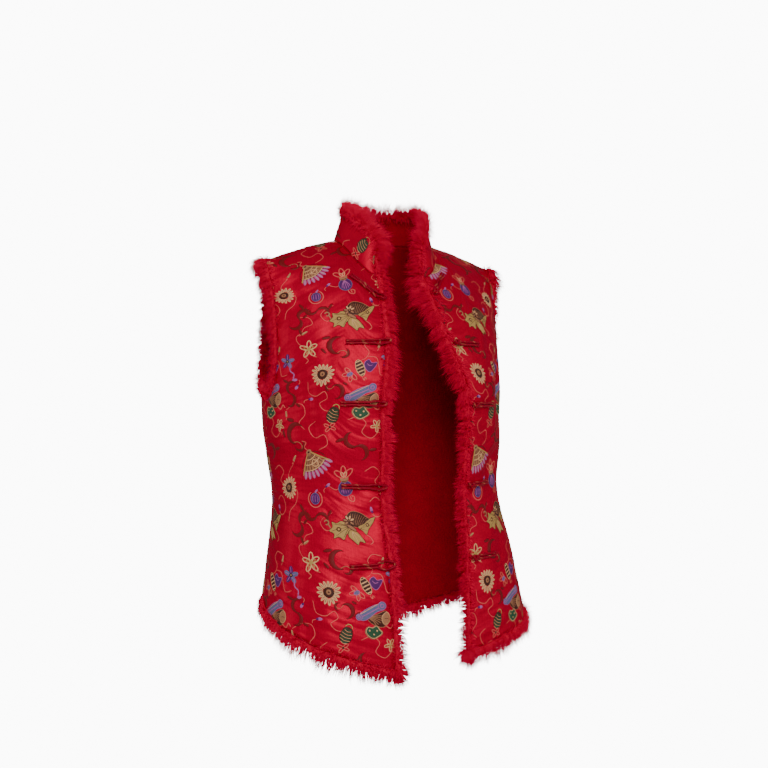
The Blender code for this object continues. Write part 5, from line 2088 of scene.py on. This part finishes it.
for number, frog in enumerate(FROGS, 1):
    right_level, left_level, right_rise, left_rise, eye_half = frog
    path = frog_path(-1, right_level, right_rise, EYE_START, EYE_END, eye_half)
    loop = joined_parts([twisted_tube(resampled(path, CORD_STEP), CORD_RADIUS)])
    loop_piece = made(f"loop_{number}", loop[0], loop[1], [twisted_cord], along=loop[2])
    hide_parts(f"frog_loop_{number}")
    start = 2 * KNOT_RADIUS + CORD_RADIUS + 6 * SEAM
    path = frog_path(1, left_level, left_rise, start, start, 0.0)
    tubes = [twisted_tube(resampled(path, CORD_STEP), CORD_RADIUS)]
    tubes.append(knot_tubes(1, left_level, left_rise))
    button = joined_parts(tubes)
    button_piece = made(f"knot_{number}", button[0], button[1], [twisted_cord], along=button[2])
    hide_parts(f"frog_cord_{number}", f"frog_knot_{number}")
    print("frog", number, "triangles", len(loop[1]) + len(button[1]))

# %% [markdown]
# ## The cloth's cut, floor and light
#
# The size of each panel's cut is printed. The vest is worn, so the floor lies where a grown
# wearer would stand. The light is that of a product photograph: one large soft lamp in front and
# above, a weaker one from each side, and one behind for the fur's rim. The floor and the world
# are plain white to the camera only. As light they are weak, so the red stays deep.

for name, piece_name in (
    ("front_right", "cloth_front_right"),
    ("front_left", "cloth_front_left"),
    ("back", "cloth_back"),
    ("collar", "cloth_collar"),
):
    width, length, area = cut_sizes[name]
    print(name, width, length, area)

# %% Floor
FLOOR_Z = -1.30
FLOOR_HALF = 40.0
FLOOR_GREYS = ((0.80, 0.80, 0.80), (0.84, 0.84, 0.84))
SEEN_WHITE = 11.0

ground = Finish("pale_floor", Roughness=0.9)
place = ground.node("ShaderNodeTexCoord", {}, {}, "Object")
ground.feed(Base_Color=ground.mix(ground.noise(place, 2.0, 3.0), *FLOOR_GREYS))
white = ground.node("ShaderNodeEmission", {}, {"Strength": SEEN_WHITE}, 0)
seen = ground.node("ShaderNodeLightPath", {}, {}, "Is Camera Ray")
plain = Wire(ground, ground.shader.outputs[0])
both = ground.node("ShaderNodeMixShader", {}, {0: seen, 1: plain, 2: white}, 0)
ground.tree.links.new(both.socket, ground.tree.nodes["Material Output"].inputs["Surface"])
signs = ((-1, -1), (1, -1), (1, 1), (-1, 1))
corners = [(x * FLOOR_HALF, y * FLOOR_HALF, FLOOR_Z) for x, y in signs]
mesh = bpy.data.meshes.new("floor")
mesh.from_pydata(corners, [], [(0, 1, 2, 3)])
mesh.materials.append(ground.material)
floor = bpy.data.objects.new("floor", mesh)
bpy.context.scene.collection.objects.link(floor)
floor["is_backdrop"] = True
print("floor at", FLOOR_Z, "m")

# %% Lamps and world
WORLD_LIGHT = 0.25
LAMPS = (
    # name, turn, height, distance, size, watts
    ("key", -24.0, 0.85, 2.4, 1.1, 68.0),
    ("fill", 45.0, 0.30, 2.6, 1.6, 18.0),
    ("side", -110.0, 0.30, 2.6, 1.2, 18.0),
    ("rim", 160.0, 0.60, 2.6, 1.2, 38.0),
)
AIM = Vector((0, 0, -0.27))
for name, turn, height, distance, size, watts in LAMPS:
    lamp_data = bpy.data.lights.new(name, "AREA")
    lamp_data.size = size
    lamp_data.energy = watts
    lamp = bpy.data.objects.new(name, lamp_data)
    bpy.context.scene.collection.objects.link(lamp)
    angle = math.radians(turn)
    lamp.location = (distance * math.sin(angle), -distance * math.cos(angle), height)
    lamp.rotation_euler = (AIM - lamp.location).to_track_quat("-Z", "Y").to_euler()


class Sky(Finish):
    """A world whose nodes are made with the same calls as a material's."""

    def __init__(self, name):
        self.world = bpy.data.worlds.new(name)
        self.world.use_nodes = True
        self.tree = self.world.node_tree
        self.shader = self.tree.nodes["Background"]
        self.shader.inputs["Color"].default_value = (1.0, 1.0, 1.0, 1.0)


studio = Sky("studio")
seen = studio.node("ShaderNodeLightPath", {}, {}, "Is Camera Ray")
studio.feed(Strength=seen * (SEEN_WHITE - WORLD_LIGHT) + WORLD_LIGHT)
bpy.context.scene.world = studio.world
print("lamps:", len(LAMPS))

# %% [markdown]
# ## Last sizes
#
# The box that the visual model fills is printed, axis by axis. The visual model fills nearly
# the same box as the solids, with only tips of hair past it.

# %% Sizes and finish
visual_box = [list(corner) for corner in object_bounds()]
for axis, low, high in zip("xyz", *visual_box):
    print(axis, "from", round(low, 4), "to", round(high, 4))
